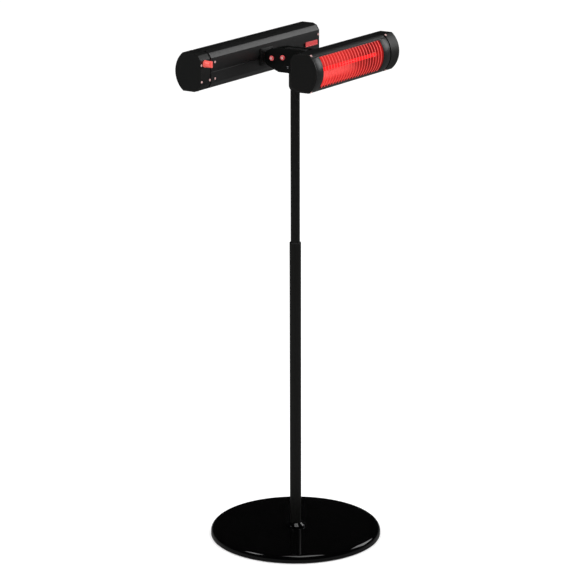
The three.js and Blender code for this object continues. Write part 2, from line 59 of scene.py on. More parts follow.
CAMERA_AZIMUTH = math.radians(-57.07)
CAMERA_ELEVATION = math.radians(15.65)
CAMERA_ROLL = math.radians(-0.11)
CAMERA_DISTANCE = 8.495
CAMERA_TARGET = Vector((-0.0120, 0.0183, 0.897))
CAMERA_LENS = 153.26
CAMERA_REACH = 60
FLOOR_R = 14
WHITE = (1, 1, 1, 1)
PAPER_LIGHT = 0.15
PAPER_REFLECTION = 0.15
STUDIO_LIGHT = 1.02
STUDIO_REFLECTION = 0.006
LIGHT_AIM = Vector((0, 0, 1.1))

scene = bpy.context.scene
scene.view_settings.view_transform = "Standard"

bpy.ops.object.camera_add(rotation=(math.pi / 2 - CAMERA_ELEVATION, 0, CAMERA_AZIMUTH))
camera = bpy.context.object
camera.rotation_euler.rotate_axis("Z", CAMERA_ROLL)
toward_camera = Vector((math.sin(CAMERA_AZIMUTH) * math.cos(CAMERA_ELEVATION),
                        -math.cos(CAMERA_AZIMUTH) * math.cos(CAMERA_ELEVATION),
                        math.sin(CAMERA_ELEVATION)))
camera.location = CAMERA_TARGET + CAMERA_DISTANCE * toward_camera
camera.data.lens = CAMERA_LENS
camera.data.clip_end = CAMERA_REACH
scene.camera = camera


def feed(socket, value):
    """Gives an input socket a value, or links an output socket to it."""
    if isinstance(value, bpy.types.NodeSocket):
        socket.id_data.links.new(value, socket)
    else:
        socket.default_value = value


def add_node(tree, kind, **values):
    """Adds a shader node. Its own settings are set on it, and other names are input sockets."""
    node = tree.nodes.new("ShaderNode" + kind)
    for key, value in values.items():
        if hasattr(node, key):
            setattr(node, key, value)
        else:
            feed(node.inputs[key.replace("_", " ")], value)
    return node


def dim_reflection(tree, bright, dim, output):
    """Shows a bright shader to the eye and a dim one to glossy reflections."""
    pick = add_node(tree, "MixShader", Fac=add_node(tree, "LightPath").outputs["Is Glossy Ray"])
    feed(pick.inputs[1], bright.outputs[0])
    feed(pick.inputs[2], dim.outputs[0])
    feed(output.inputs["Surface"], pick.outputs["Shader"])


def soft_box(name, direction, distance, size, power):
    """A square lamp that faces the middle of the pole from a direction."""
    away = Vector(direction).normalized()
    bpy.ops.object.light_add(type="AREA", location=LIGHT_AIM + away * distance,
                             rotation=away.to_track_quat("Z", "Y").to_euler())
    light = bpy.context.object
    light.name = name
    light.data.size = size
    light.data.energy = power


bpy.ops.mesh.primitive_circle_add(vertices=96, radius=FLOOR_R, fill_type="NGON")
floor = bpy.context.object
floor.name = "studio_floor"
paper = bpy.data.materials.new("white_paper")
paper.use_nodes = True
paper_tree = paper.node_tree
paper_shader = paper_tree.nodes["Principled BSDF"]
for socket_name, value in (("Base Color", (0.9, 0.9, 0.9, 1)), ("Roughness", 0.9),
                           ("Specular IOR Level", 0.1), ("Emission Color", WHITE),
                           ("Emission Strength", PAPER_LIGHT)):
    feed(paper_shader.inputs[socket_name], value)
dim_reflection(paper_tree, paper_shader,
               add_node(paper_tree, "Emission", Color=WHITE, Strength=PAPER_REFLECTION),
               paper_tree.nodes["Material Output"])
floor.data.materials.append(paper)

soft_box("right_soft_box", (0.81, -0.46, 0.42), 4.5, 2.2, 42)
soft_box("left_soft_box", (-0.62, 0.55, 0.75), 5.0, 1.6, 30)
soft_box("top_soft_box", (-0.1, -0.25, 1.0), 5.5, 3.0, 68)

world = bpy.data.worlds.new("studio")
scene.world = world
world.use_nodes = True
world_tree = world.node_tree
world_tree.nodes.clear()
dim_reflection(world_tree, add_node(world_tree, "Background", Color=WHITE, Strength=STUDIO_LIGHT),
               add_node(world_tree, "Background", Color=WHITE, Strength=STUDIO_REFLECTION),
               add_node(world_tree, "OutputWorld"))


# ---------------- base cover
# A disc of pressed steel with a rolled edge, stoved in gloss black and open underneath. It drops over
# the cast weight, and the pole's foot bolt clamps it.

COVER_ROLL = 0.018
COVER_SHEET = 0.002
COVER_SIDES = 256


def deselect_all():
    bpy.ops.object.select_all(action="DESELECT")


def activate(piece):
    deselect_all()
    piece.select_set(True)
    bpy.context.view_layer.objects.active = piece


def settle(piece):
    """Moves a piece's place, turn and size into its mesh."""
    activate(piece)
    bpy.ops.object.transform_apply(location=True, rotation=True, scale=True)
    return piece


def rename(piece, name):
    piece.name = name
    piece.data.name = name
    return piece


def name_piece(name):
    """Names the primitive that was just added and settles it."""
    return settle(rename(bpy.context.object, name))


def round_bar(name, centre, radius, length, axis="Z", sides=64):
    turn = {"X": (0, math.pi / 2, 0), "Y": (math.pi / 2, 0, 0), "Z": (0, 0, 0)}[axis]
    deselect_all()
    bpy.ops.mesh.primitive_cylinder_add(vertices=sides, radius=radius, depth=length, location=centre,
                                        rotation=turn)
    return name_piece(name)


def open_mesh(piece, mode="FACE", select="DESELECT"):
    """Puts a piece in edit mode with nothing selected, or all, and hands over its mesh."""
    activate(piece)
    bpy.ops.object.mode_set(mode="EDIT")
    bpy.ops.mesh.select_mode(type=mode)
    bpy.ops.mesh.select_all(action=select)
    return bmesh.from_edit_mesh(piece.data)


def close_mesh():
    bpy.ops.object.mode_set(mode="OBJECT")


def pick_faces(piece, test):
    """Selects the faces whose middle and normal pass a test. The piece stays in edit mode."""
    mesh = open_mesh(piece)
    for face in mesh.faces:
        face.select_set(test(face.calc_center_median(), face.normal))
    bmesh.update_edit_mesh(piece.data)


def drop_faces(piece, test):
    """Deletes the faces whose middle and normal pass a test."""
    pick_faces(piece, test)
    bpy.ops.mesh.delete(type="FACE")
    close_mesh()


def pick_edges(piece, test):
    """Selects the edges whose two ends both pass a test. The piece stays in edit mode."""
    mesh = open_mesh(piece, "EDGE")
    for edge in mesh.edges:
        edge.select_set(all(test(vertex.co) for vertex in edge.verts))
    bmesh.update_edit_mesh(piece.data)


def modify(piece, kind, **settings):
    """Adds a modifier and applies it."""
    activate(piece)
    modifier = piece.modifiers.new(kind.lower(), kind)
    for key, value in settings.items():
        setattr(modifier, key, value)
    bpy.ops.object.modifier_apply(modifier=modifier.name)


def thicken(piece, thickness, offset=-1):
    """Gives a skin its thickness, inwards or outwards."""
    modify(piece, "SOLIDIFY", thickness=thickness, offset=offset, use_even_offset=True)


def smooth(piece, angle=35):
    activate(piece)
    bpy.ops.object.shade_smooth_by_angle(angle=math.radians(angle))


def fit(piece, body, slot, material, *nodes):
    """Gives a piece its finish and its body, and lets it stand for the frame's own nodes."""
    piece.data.materials.clear()
    piece.data.materials.append(material)
    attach(piece, body)
    if nodes:
        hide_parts(*nodes)
    return piece


def mix_colors(tree, mask, first, second):
    """Mixes two colours by a mask. Each colour is plain, or comes from an output socket."""
    node = add_node(tree, "Mix", data_type="RGBA")
    sockets = {socket.identifier: socket for socket in node.inputs}
    feed(sockets["Factor_Float"], mask)
    for key, value in (("A_Color", first), ("B_Color", second)):
        feed(sockets[key], (*value, 1) if isinstance(value, tuple) else value)
    return next(socket for socket in node.outputs if socket.identifier == "Result_Color")


def new_group(name, outputs, **inputs):
    """A shader node group with number inputs, and outputs given as name: kind of socket."""
    group = bpy.data.node_groups.new(name, "ShaderNodeTree")
    for key, value in inputs.items():
        socket = group.interface.new_socket(name=key.replace("_", " "), in_out="INPUT",
                                            socket_type="NodeSocketFloat")
        socket.default_value = value
    for key, kind in outputs.items():
        group.interface.new_socket(name=key, in_out="OUTPUT", socket_type="NodeSocket" + kind)
    return group, group.nodes.new("NodeGroupInput").outputs, group.nodes.new("NodeGroupOutput").inputs


def calculate(tree, operation, *values):
    node = add_node(tree, "Math", operation=operation)
    for socket, value in zip(node.inputs, values):
        feed(socket, value)
    return node.outputs["Value"]


def object_place(tree):
    return add_node(tree, "TexCoord").outputs["Object"]


def noise_of_size(group, size, detail, vector=None):
    """Noise whose features have a size in metres, read from an input of its group."""
    noise = add_node(group, "TexNoise", Detail=detail, Scale=calculate(group, "DIVIDE", 1, size),
                     Vector=vector or object_place(group))
    return noise.outputs["Fac"]


def between(tree, value, low, high, to_low=0.0, to_high=1.0):
    """Stretches a value from one range to another, and stops at its ends."""
    return add_node(tree, "MapRange", Value=value, From_Min=low, From_Max=high, To_Min=to_low,
                    To_Max=to_high).outputs["Result"]


def build_coat_grain():
    """The skin of a coat or a moulding: a finely bumped normal, and a roughness that drifts a little."""
    group, given, result = new_group("coat_grain", {"Normal": "Vector", "Roughness": "Float"},
                                     Grain_Size=0.001, Depth=0.1, Roughness=0.4, Drift=0.05,
                                     Cloud_Size=0.1)
    bump = add_node(group, "Bump", Distance=0.0004, Strength=given["Depth"],
                    Height=noise_of_size(group, given["Grain Size"], 3))
    feed(result["Normal"], bump.outputs["Normal"])
    cloud = between(group, noise_of_size(group, given["Cloud Size"], 4), 0.3, 0.7, -1, 1)
    feed(result["Roughness"], calculate(group, "MULTIPLY_ADD", cloud, given["Drift"], given["Roughness"]))
    return group


def build_settled_dust():
    """Thin dust, thickest on upward faces, as a mask."""
    group, given, result = new_group("settled_dust", {"Dust": "Float"}, Amount=0.1, Patch_Size=0.05)
    facing = add_node(group, "SeparateXYZ", Vector=add_node(group, "NewGeometry").outputs["Normal"])
    upward = between(group, facing.outputs["Z"], -0.2, 1, 0.15, 1)
    patches = between(group, noise_of_size(group, given["Patch Size"], 8), 0.4, 0.8)
    dust = calculate(group, "MULTIPLY", upward, patches)
    feed(result["Dust"], calculate(group, "MULTIPLY", dust, given["Amount"]))
    return group


coat_grain = build_coat_grain()
settled_dust = build_settled_dust()
DUST_COLOR = (0.42, 0.4, 0.37)


def surface(name, color, roughness, grain=0.001, depth=0.1, drift=0.06, dust=0.1, patch=0.05, **sockets):
    """A Principled material with a bumped skin and a little dust. Other names are its own sockets."""
    material = bpy.data.materials.new(name)
    material.use_nodes = True
    tree = material.node_tree
    shader = tree.nodes["Principled BSDF"]
    for key, value in sockets.items():
        feed(shader.inputs[key.replace("_", " ")], value)
    skin = add_node(tree, "Group", node_tree=coat_grain, Grain_Size=grain, Depth=depth,
                    Roughness=roughness, Drift=drift)
    for key in ("Normal", "Roughness"):
        feed(shader.inputs[key], skin.outputs[key])
    dirt = add_node(tree, "Group", node_tree=settled_dust, Amount=dust, Patch_Size=patch)
    feed(shader.inputs["Base Color"], mix_colors(tree, dirt.outputs["Dust"], color, DUST_COLOR))
    return material


gloss_enamel = surface("gloss_black_enamel", (0.0006, 0.0006, 0.0007), 0.06, grain=0.012, depth=0.012,
                       drift=0.03, dust=0.001, patch=0.08, Specular_IOR_Level=0.45, Coat_Weight=0.2,
                       Coat_Roughness=0.04)

low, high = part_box("base_cover")
base_cover = round_bar("base_cover_skin", (0, 0, (low.z + high.z) / 2), high.x, high.z - low.z,
                       sides=COVER_SIDES)
pick_edges(base_cover, lambda point: point.z > high.z - 1e-5)
bpy.ops.mesh.bevel(offset=COVER_ROLL, segments=14, profile=0.5)
close_mesh()
drop_faces(base_cover, lambda middle, normal: normal.z < -0.9)
thicken(base_cover, COVER_SHEET)
smooth(base_cover)
fit(base_cover, "stand", "gloss_black_paint", gloss_enamel, "base_cover")


# ---------------- base pad, weight and foot bolt
# The rubber pad, the cast concrete weight, the zinc-plated bolt with its washer and the steel plug in
# the foot of the pole are all under the cover. They keep the frame's own shapes.


def paint(material, *names):
    """Gives the frame's own nodes a material."""
    for name in names:
        for material_slot in frame["nodes"][name].material_slots:
            material_slot.material = material


def clouds(tree, size, detail, low, high, most=1.0):
    """A mask of soft clouds of a size in metres."""
    noise = add_node(tree, "TexNoise", Scale=1 / size, Detail=detail, Vector=object_place(tree))
    return between(tree, noise.outputs["Fac"], low, high, 0, most)


def overlay(material, mask, color):
    """Mixes a colour by a mask over what a material already has."""
    base = material.node_tree.nodes["Principled BSDF"].inputs["Base Color"]
    feed(base, mix_colors(material.node_tree, mask, base.links[0].from_socket, color))


def mottle(material, color, size, amount):
    """Lets a second colour drift over a material's colour in clouds."""
    overlay(material, clouds(material.node_tree, size, 5, 0.35, 0.7, amount), color)


rubber = surface("pad_rubber", (0.012, 0.012, 0.012), 0.85, grain=0.0012, depth=0.6, dust=0.25)
concrete = surface("cast_concrete", (0.33, 0.32, 0.3), 0.92, grain=0.003, depth=0.9, dust=0.4)
mottle(concrete, (0.2, 0.19, 0.18), 0.02, 0.7)
zinc = surface("zinc_plating", (0.55, 0.56, 0.58), 0.3, grain=0.002, depth=0.15, drift=0.12, dust=0.08,
               Metallic=1)
mottle(zinc, (0.38, 0.39, 0.42), 0.006, 0.6)
paint(rubber, "base_pad")
paint(concrete, "base_weight")
paint(zinc, "base_bolt", "base_washer", "foot_plug", "mast_end_plug")


# ---------------- foot collar
# A turned steel collar in the same gloss black. It slides down the pole, covers the bolted joint in the
# base and is held by a small set screw.

COLLAR_BEVEL = 0.0006
COLLAR_FLANGE = 0.004
COLLAR_SHOULDER = 0.0065
COLLAR_STEP = 0.003
AXIS_R = 1e-5
FIT_GAP = 0.0003


def turned(name, profile, sides=64, axis="Z", centre=(0, 0, 0)):
    """A piece turned on a lathe. The profile is (radius, height) rings, and the last joins the first.

    A radius of nothing closes the end on the axis."""
    rings = [(max(radius, AXIS_R), height) for radius, height in profile]
    deselect_all()
    bpy.ops.mesh.primitive_circle_add(vertices=sides, radius=rings[0][0], fill_type="NOTHING",
                                      location=(0, 0, rings[0][1]))
    piece = name_piece(name)
    open_mesh(piece, "EDGE", "SELECT")
    for (radius, height), (next_radius, next_height) in zip(rings, rings[1:]):
        bpy.ops.mesh.extrude_edges_move(TRANSFORM_OT_translate={"value": (0, 0, next_height - height)})
        ratio = next_radius / radius
        bpy.ops.transform.resize(value=(ratio, ratio, 1), center_override=(0, 0, next_height))
    bpy.ops.mesh.select_all(action="SELECT")
    bpy.ops.mesh.remove_doubles(threshold=3 * AXIS_R)
    bpy.ops.mesh.normals_make_consistent(inside=False)
    close_mesh()
    piece.rotation_euler = {"X": (0, math.pi / 2, 0), "Y": (-math.pi / 2, 0, 0), "Z": (0, 0, 0)}[axis]
    piece.location = centre
    return settle(piece)


def ring(profile):
    """Closes a profile that doesn't reach the axis."""
    return [*profile, profile[0]]


def soften(piece, width, segments=2, angle=35):
    """Rounds the sharp edges by a width, and shades the piece smooth between the rest."""
    modify(piece, "BEVEL", width=width, segments=segments, limit_method="ANGLE",
           angle_limit=math.radians(angle))
    smooth(piece, angle)


def join(piece, *others):
    """Joins other meshes into a piece, which keeps its name."""
    deselect_all()
    for other in (piece, *others):
        other.select_set(True)
    bpy.context.view_layer.objects.active = piece
    bpy.ops.object.join()
    return piece


low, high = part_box("foot_collar")
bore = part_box("lower_tube")[1].x + FIT_GAP
collar_profile = [(bore, low.z), (high.x, low.z), (high.x, low.z + COLLAR_FLANGE),
                  (high.x - COLLAR_STEP, low.z + COLLAR_SHOULDER),
                  (bore + 2 * COLLAR_STEP, high.z - COLLAR_STEP), (bore + COLLAR_STEP, high.z),
                  (bore, high.z)]
collar = turned("foot_collar_turned", ring(collar_profile), sides=96)
soften(collar, COLLAR_BEVEL, segments=3, angle=20)
fit(collar, "stand", "gloss_black_paint", gloss_enamel, "foot_collar")


# ---------------- telescopic pole
# Two seamless steel tubes in satin black powder coat. The upper one slides in the lower one. A twist
# lock inside holds it at any height.

TUBE_EDGE = 0.0006
TUBE_WALL = 0.0016


def build_edge_wear():
    """Where a coat is rubbed thin on raised edges, broken up into specks, as a mask."""
    group, given, result = new_group("edge_wear", {"Wear": "Float"}, Amount=0.5, Speck_Size=0.004)
    raised = between(group, add_node(group, "NewGeometry").outputs["Pointiness"], 0.57, 0.7)
    specks = between(group, noise_of_size(group, given["Speck Size"], 5), 0.45, 0.7)
    worn = calculate(group, "MULTIPLY", raised, specks)
    feed(result["Wear"], calculate(group, "MULTIPLY", worn, given["Amount"]))
    return group


edge_wear = build_edge_wear()


def wear_edges(material, color, amount=0.4, speck=0.004):
    """Lets a rubbed colour show through a material on its raised edges."""
    rubbed = add_node(material.node_tree, "Group", node_tree=edge_wear, Amount=amount, Speck_Size=speck)
    overlay(material, rubbed.outputs["Wear"], color)


satin_black = surface("satin_black_powder", (0.0034, 0.0035, 0.0029), 0.3, grain=0.0007, depth=0.1,
                      drift=0.02, dust=0.0008)
wear_edges(satin_black, (0.05, 0.05, 0.052))

low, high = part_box("lower_tube")
lower_bore = high.x - TUBE_WALL
lower_profile = [(lower_bore, low.z), (high.x, low.z), (high.x, high.z - TUBE_EDGE),
                 (high.x - TUBE_EDGE, high.z), (lower_bore, high.z)]
lower_tube = turned("lower_tube_drawn", ring(lower_profile), sides=96)
smooth(lower_tube)
fit(lower_tube, "stand", "satin_black_tube", satin_black, "lower_tube")

low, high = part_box("upper_tube")
upper_bore = high.x - TUBE_WALL
upper_profile = [(upper_bore, low.z), (high.x - TUBE_EDGE, low.z), (high.x, low.z + TUBE_EDGE),
                 (high.x, high.z), (upper_bore, high.z)]
upper_tube = turned("upper_tube_drawn", ring(upper_profile), sides=80)
smooth(upper_tube)
fit(upper_tube, "mast", "satin_black_tube", satin_black, "upper_tube")


# ---------------- guide bush and twist lock
# A moulded acetal bush is pressed into the top of the lower tube and wipes the upper one. The nylon plug
# of the twist lock is out of sight in the tube.

BUSH_BEVEL = 0.0004
BUSH_CHAMFER = 0.002
BUSH_CHAMFER_HEIGHT = 0.0022
BUSH_LIP = 0.0006

black_plastic = surface("moulded_black_plastic", (0.0045, 0.0052, 0.0047), 0.48, grain=0.0006, depth=0.25,
                        drift=0.03, dust=0.004)
wear_edges(black_plastic, (0.05, 0.05, 0.052))
nylon = surface("natural_nylon", (0.62, 0.6, 0.53), 0.5, grain=0.0015, depth=0.2, dust=0.1)
mottle(nylon, (0.5, 0.48, 0.4), 0.01, 0.5)

low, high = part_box("guide_bush")
flange_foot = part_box("lower_tube")[1].z + FIT_GAP
bush_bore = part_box("upper_tube")[1].x + FIT_GAP
sleeve_r = lower_bore - FIT_GAP
bush_profile = [(bush_bore, low.z), (sleeve_r, low.z), (sleeve_r, flange_foot), (high.x, flange_foot),
                (high.x, high.z - BUSH_CHAMFER_HEIGHT), (high.x - BUSH_CHAMFER, high.z),
                (bush_bore + BUSH_LIP, high.z), (bush_bore, high.z - BUSH_LIP)]
bush = turned("guide_bush_moulded", ring(bush_profile), sides=96)
soften(bush, BUSH_BEVEL, angle=30)
fit(bush, "stand", "black_plastic", black_plastic, "guide_bush")
paint(nylon, "lock_plug")


# ---------------- pole head
# A die-cast aluminium block clamps the top of the pole. Its edges are chamfered, and its long neck
# tapers to the tube below the bracket.

BLOCK_CHAMFER = 0.008
BLOCK_HEIGHT = 0.072
NECK_R = 0.0215
NECK_TAPER = 0.01
NECK_LIP = 0.0015
SOCKET_ROOF = 0.014
OVERLAP = 0.002
CASTING_BEVEL = 0.0008


def box_between(name, low_corner, high_corner):
    low_corner, high_corner = Vector(low_corner), Vector(high_corner)
    deselect_all()
    bpy.ops.mesh.primitive_cube_add(size=1, location=(low_corner + high_corner) / 2)
    bpy.context.object.scale = high_corner - low_corner
    return name_piece(name)


def round_long_edges(piece, axis, radius, segments):
    """Rounds the four edges of a block that run along one axis (0, 1 or 2)."""
    mesh = open_mesh(piece, "EDGE")
    for edge in mesh.edges:
        span = edge.verts[0].co - edge.verts[1].co
        edge.select_set(abs(span[axis]) > 0.9 * span.length)
    bmesh.update_edit_mesh(piece.data)
    bpy.ops.mesh.bevel(offset=radius, segments=segments)
    close_mesh()


def combine(piece, other, operation="UNION"):
    """Adds another solid to a piece."""
    modify(piece, "BOOLEAN", operation=operation, object=other, solver="EXACT")
    bpy.data.objects.remove(other)


def cut(piece, other):
    """Cuts another solid out of a piece."""
    combine(piece, other, "DIFFERENCE")


cast_aluminium = surface("cast_black_aluminium", (0.0042, 0.0041, 0.0036), 0.5, grain=0.0011, depth=0.3,
                         drift=0.03, dust=0.003)
wear_edges(cast_aluminium, (0.08, 0.08, 0.085))

low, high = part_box("pole_head")
block_foot = high.z - BLOCK_HEIGHT
pole_head = box_between("pole_head_cast", (low.x, low.y, block_foot), high)
round_long_edges(pole_head, 0, BLOCK_CHAMFER, 1)
neck_top = block_foot + OVERLAP
neck = turned("neck", [(0, low.z), (bush_bore + NECK_LIP, low.z), (NECK_R, low.z + NECK_TAPER),
                       (NECK_R, neck_top), (0, neck_top), (0, low.z)], sides=80)
combine(pole_head, neck)
socket_bore = round_bar("socket", (0, 0, low.z), bush_bore, 2 * (high.z - SOCKET_ROOF - low.z), sides=80)
cut(pole_head, socket_bore)
soften(pole_head, CASTING_BEVEL)
fit(pole_head, "mast", "black_cast_aluminium", cast_aluminium, "pole_head")


# ---------------- bracket plates
# Two laser-cut steel plates, powder coated, hold the pole head between them and carry a head at each end.
# Both ends are rounded about the tilt axis.

NOSE_R = 0.031
PLATE_SQUARE_Y = 0.05
PLATE_BEVEL = 0.0007
pivots = {joint["name"].removesuffix("_tilt"): Vector(joint["pos_m"])
          for joint in frame["joints"] if joint["name"].endswith("_tilt")}

powder = surface("textured_black_powder", (0.0022, 0.0028, 0.0026), 0.42, grain=0.0009, depth=0.3,
                 drift=0.04, dust=0.002, Specular_IOR_Level=0.3)
wear_edges(powder, (0.06, 0.06, 0.062))


def wrap(piece):
    """Shrinks one flat-sided hull round everything in a piece."""
    open_mesh(piece, "VERT", "SELECT")
    bpy.ops.mesh.convex_hull()
    bpy.ops.mesh.select_all(action="SELECT")
    bpy.ops.mesh.dissolve_limited(angle_limit=math.radians(0.5))
    close_mesh()
    return piece


for side in ("left", "right"):
    low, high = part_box(f"bracket_plate_{side}")
    middle_x, thickness = (low.x + high.x) / 2, high.x - low.x
    plate = box_between(f"bracket_plate_{side}_cut", (low.x, -PLATE_SQUARE_Y, low.z),
                        (high.x, PLATE_SQUARE_Y, high.z))
    noses = [round_bar("nose", (middle_x, pivot.y, pivot.z), NOSE_R, thickness, "X", sides=96)
             for pivot in pivots.values()]
    wrap(join(plate, *noses))
    soften(plate, PLATE_BEVEL, segments=3, angle=30)
    fit(plate, "mast", "satin_black_tube", powder, f"bracket_plate_{side}")


# ---------------- bracket bolts and nuts
# Two bolts clamp the plates to the pole head, and one more at each end is a head's tilt axis. Each has a
# moulded red cap round a socket button whose pale pinkish colour is a painted glint, and a zinc-plated
# nut and washer on the far side.

BUTTON_R = 0.0044
BUTTON_SEAT = 0.0016
BUTTON_KEY_R = 0.0024
WASHER_T = 0.0012
THREAD_PITCH = 0.0011
THREAD_DEPTH = 0.0005
THREAD_START = 0.05
BOLT_SHANK_R = 0.0058
BOLT_POINT = 0.0008
SCREW_GAP = 0.0002
NUT_BEVEL = 0.0003

# Its pale pinkish colour is a painted glint: a highlight with red light in it, bright whatever is
# reflected.
pale_steel_painted_glint = surface("plated_steel_painted_pink_glint", (0.8, 0.52, 0.5), 0.35, grain=0.0006, depth=0.12, drift=0.1,
                     dust=0.06, Metallic=0.25)
mottle(pale_steel_painted_glint, (0.62, 0.38, 0.37), 0.002, 0.5)
cap_red = surface("moulded_red_cap", (0.62, 0.045, 0.05), 0.3, grain=0.0009, depth=0.12, drift=0.06,
                  dust=0.05, Coat_Weight=0.3, Coat_Roughness=0.1)
mottle(cap_red, (0.75, 0.2, 0.2), 0.004, 0.5)


def copy_piece(piece, name, shift):
    """A copy with its own mesh, moved by a shift."""
    activate(piece)
    bpy.ops.object.duplicate()
    copy = rename(bpy.context.object, name)
    copy.location = shift
    return settle(copy)


def discard(*patterns):
    """Deletes patterns whose copies are in place."""
    for pattern in patterns:
        bpy.data.objects.remove(pattern)


def thread(start, end, radius):
    """The rings of a screw thread between two heights."""
    rings = []
    turns = round((end - start) / THREAD_PITCH)
    for turn in range(turns):
        foot = start + turn * THREAD_PITCH
        rings += [(radius - THREAD_DEPTH, foot), (radius, foot + THREAD_PITCH / 2)]
    return rings


low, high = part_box("front_pole_bolt")
nut_low, nut_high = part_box("front_pole_nut")
plate_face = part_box("bracket_plate_left")[0].x
cap_r = (high.z - low.z) / 2
cap_height = plate_face - low.x - FIT_GAP
bolt_end = high.x - low.x
seat_r = BUTTON_R + SCREW_GAP
cap_profile = [(0, BUTTON_SEAT), (seat_r, BUTTON_SEAT), (seat_r, 0.0001), (BUTTON_R + 0.0005, 0),
               (cap_r * 0.75, 0.0007), (cap_r * 0.9, 0.0018), (cap_r, 0.0036), (cap_r, cap_height),
               (BOLT_SHANK_R, cap_height)]
shank_profile = [(BOLT_SHANK_R, THREAD_START),
                 *thread(THREAD_START, bolt_end - BOLT_POINT, BOLT_SHANK_R),
                 (BOLT_SHANK_R - BOLT_POINT, bolt_end), (0, bolt_end)]

cap_bolt = turned("cap_bolt", [*cap_profile, *shank_profile], sides=32, axis="X", centre=(low.x, 0, 0))
smooth(cap_bolt, 40)
button = turned("button", [(0, 0.0002), (BUTTON_R * 0.8, 0.0002), (BUTTON_R, 0.0008),
                           (BUTTON_R, BUTTON_SEAT - 0.0001), (0, BUTTON_SEAT - 0.0001), (0, 0.0002)],
                sides=32, axis="X", centre=(low.x, 0, 0))
cut(button, round_bar("key", (low.x, 0, 0), BUTTON_KEY_R, 0.0022, "X", sides=6))
smooth(button, 40)

nut_foot = nut_low.x
nut_r = (nut_high.z - nut_low.z) / 2
nut_bore_r = BOLT_SHANK_R + SCREW_GAP
nut_middle = (nut_foot + WASHER_T + nut_high.x) / 2
hex_nut = round_bar("hex_nut", (nut_middle, 0, 0), nut_r, nut_high.x - nut_foot - WASHER_T, "X", 6)
cut(hex_nut, round_bar("nut_bore", (nut_foot, 0, 0), nut_bore_r, 0.05, "X", 32))
chamfer_cone = turned("nut_chamfer", [(0, -0.004), (nut_r * 0.9, -0.004), (nut_r * 1.2, 0),
                                      (nut_r * 1.2, 0.004), (nut_r * 0.9, 0.008), (0, 0.008)],
                      sides=48, axis="X", centre=(nut_middle - 0.002, 0, 0))
combine(hex_nut, chamfer_cone, "INTERSECT")
soften(hex_nut, NUT_BEVEL, angle=40)
washer_profile = [(nut_bore_r, 0), (nut_r, 0), (nut_r, WASHER_T), (nut_bore_r, WASHER_T)]
washer = turned("nut_washer", ring(washer_profile), sides=48, axis="X", centre=(nut_foot, 0, 0))
soften(washer, NUT_BEVEL, angle=40)
join(hex_nut, washer)

for place in ("rear_pole", "front_pole", "rear_pivot", "front_pivot"):
    low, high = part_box(f"{place}_nut")
    shift = (0, (low.y + high.y) / 2, (low.z + high.z) / 2)
    fit(copy_piece(cap_bolt, f"{place}_bolt_capped", shift), "mast", "red_capped_steel", cap_red,
        f"{place}_bolt")
    fit(copy_piece(button, f"{place}_bolt_button", shift), "mast", "red_capped_steel", pale_steel_painted_glint)
    fit(copy_piece(hex_nut, f"{place}_nut_and_washer", shift), "mast", "zinc_steel", zinc,
        f"{place}_nut")
discard(cap_bolt, button, hex_nut)


# ---------------- recessed screws
# Small steel pan-head screws, plated or blackened, hold the end plates, the control caps and the lugs.
# One is turned with its cross recess, and the rest are copies of it.

SCREW_R = 0.004
SCREW_HEIGHT = 0.002
CROSS_W = 0.001
CROSS_L = 0.0046
CROSS_DEPTH = 0.0011
SCREW_SHANK = 0.0015
COLLAR_SCREW_Z = 0.0033
COVER_SCREW_Y = 0.012
COVER_SCREW_Z = 0.019

pan_screw = turned("pan_screw", [(0, SCREW_HEIGHT), (SCREW_R * 0.5, SCREW_HEIGHT * 0.95),
                                 (SCREW_R * 0.85, SCREW_HEIGHT * 0.7), (SCREW_R, SCREW_HEIGHT * 0.25),
                                 (SCREW_R, -SCREW_SHANK), (0, -SCREW_SHANK)], sides=24)
for wide, deep in ((CROSS_L, CROSS_W), (CROSS_W, CROSS_L)):
    cut(pan_screw, box_between("slot", (-wide / 2, -deep / 2, SCREW_HEIGHT - CROSS_DEPTH),
                               (wide / 2, deep / 2, SCREW_HEIGHT + 0.001)))
smooth(pan_screw, 40)


def set_screws(name, places):
    """Copies of the screw joined into one piece. A place is a point and the way the head looks."""
    screws = []
    for point, outward in places:
        activate(pan_screw)
        bpy.ops.object.duplicate()
        screw = bpy.context.object
        screw.rotation_euler = Vector(outward).to_track_quat("Z", "Y").to_euler()
        screw.location = point
        screws.append(settle(screw))
    return rename(join(*screws) if len(screws) > 1 else screws[0], name)


# The foot collar's set screw and the bracket's small cover screws.
low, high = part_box("foot_collar")
collar_screw = set_screws("foot_collar_screw", [((0, -high.x, low.z + COLLAR_SCREW_Z), (0, -1, 0))])
fit(collar_screw, "stand", "zinc_steel", zinc)
plate_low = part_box("bracket_plate_left")[0]
bracket_screws = set_screws("bracket_cover_screws",
                            [((plate_low.x, half * COVER_SCREW_Y, plate_low.z + COVER_SCREW_Z),
                              (-1, 0, 0)) for half in (-1, 1)])
fit(bracket_screws, "mast", "zinc_steel", zinc)


# ---------------- head end plates
# Each head is a D-shaped aluminium extrusion: flat behind, chamfered above and below, and round in front.
# A cast plate of the same section closes its plain end.

TOP_FLAT = 0.045
SHOULDER_DEPTH = 0.06
SHOULDER_Z = 0.0576
BACK_HALF_Z = 0.0413
HEAD_DEPTH = 0.0706
SECTION_SIDES = 160
END_BEVEL = 0.0006
END_RIM = 0.0035
END_PANEL_DEPTH = 0.0007
PANEL_SLOPE = 0.0008
SLIVER = 0.0005
HEADS = tuple(pivots)


def own_box(head, node):
    """A node's box in its head's own frame, whose tilt axis is the origin and whose front faces -Y."""
    low, high = (corner - pivots[head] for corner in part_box(f"{head}_{node}"))
    if pivots[head].y > 0:
        low, high = Vector((-high.x, -high.y, low.z)), Vector((-low.x, -low.y, high.z))
    return low, high


def hang(piece, head):
    """Moves a piece from its head's own frame to its place on the heater."""
    piece.rotation_euler = (0, 0, math.pi if pivots[head].y > 0 else 0)
    piece.location = pivots[head]
    return settle(piece)


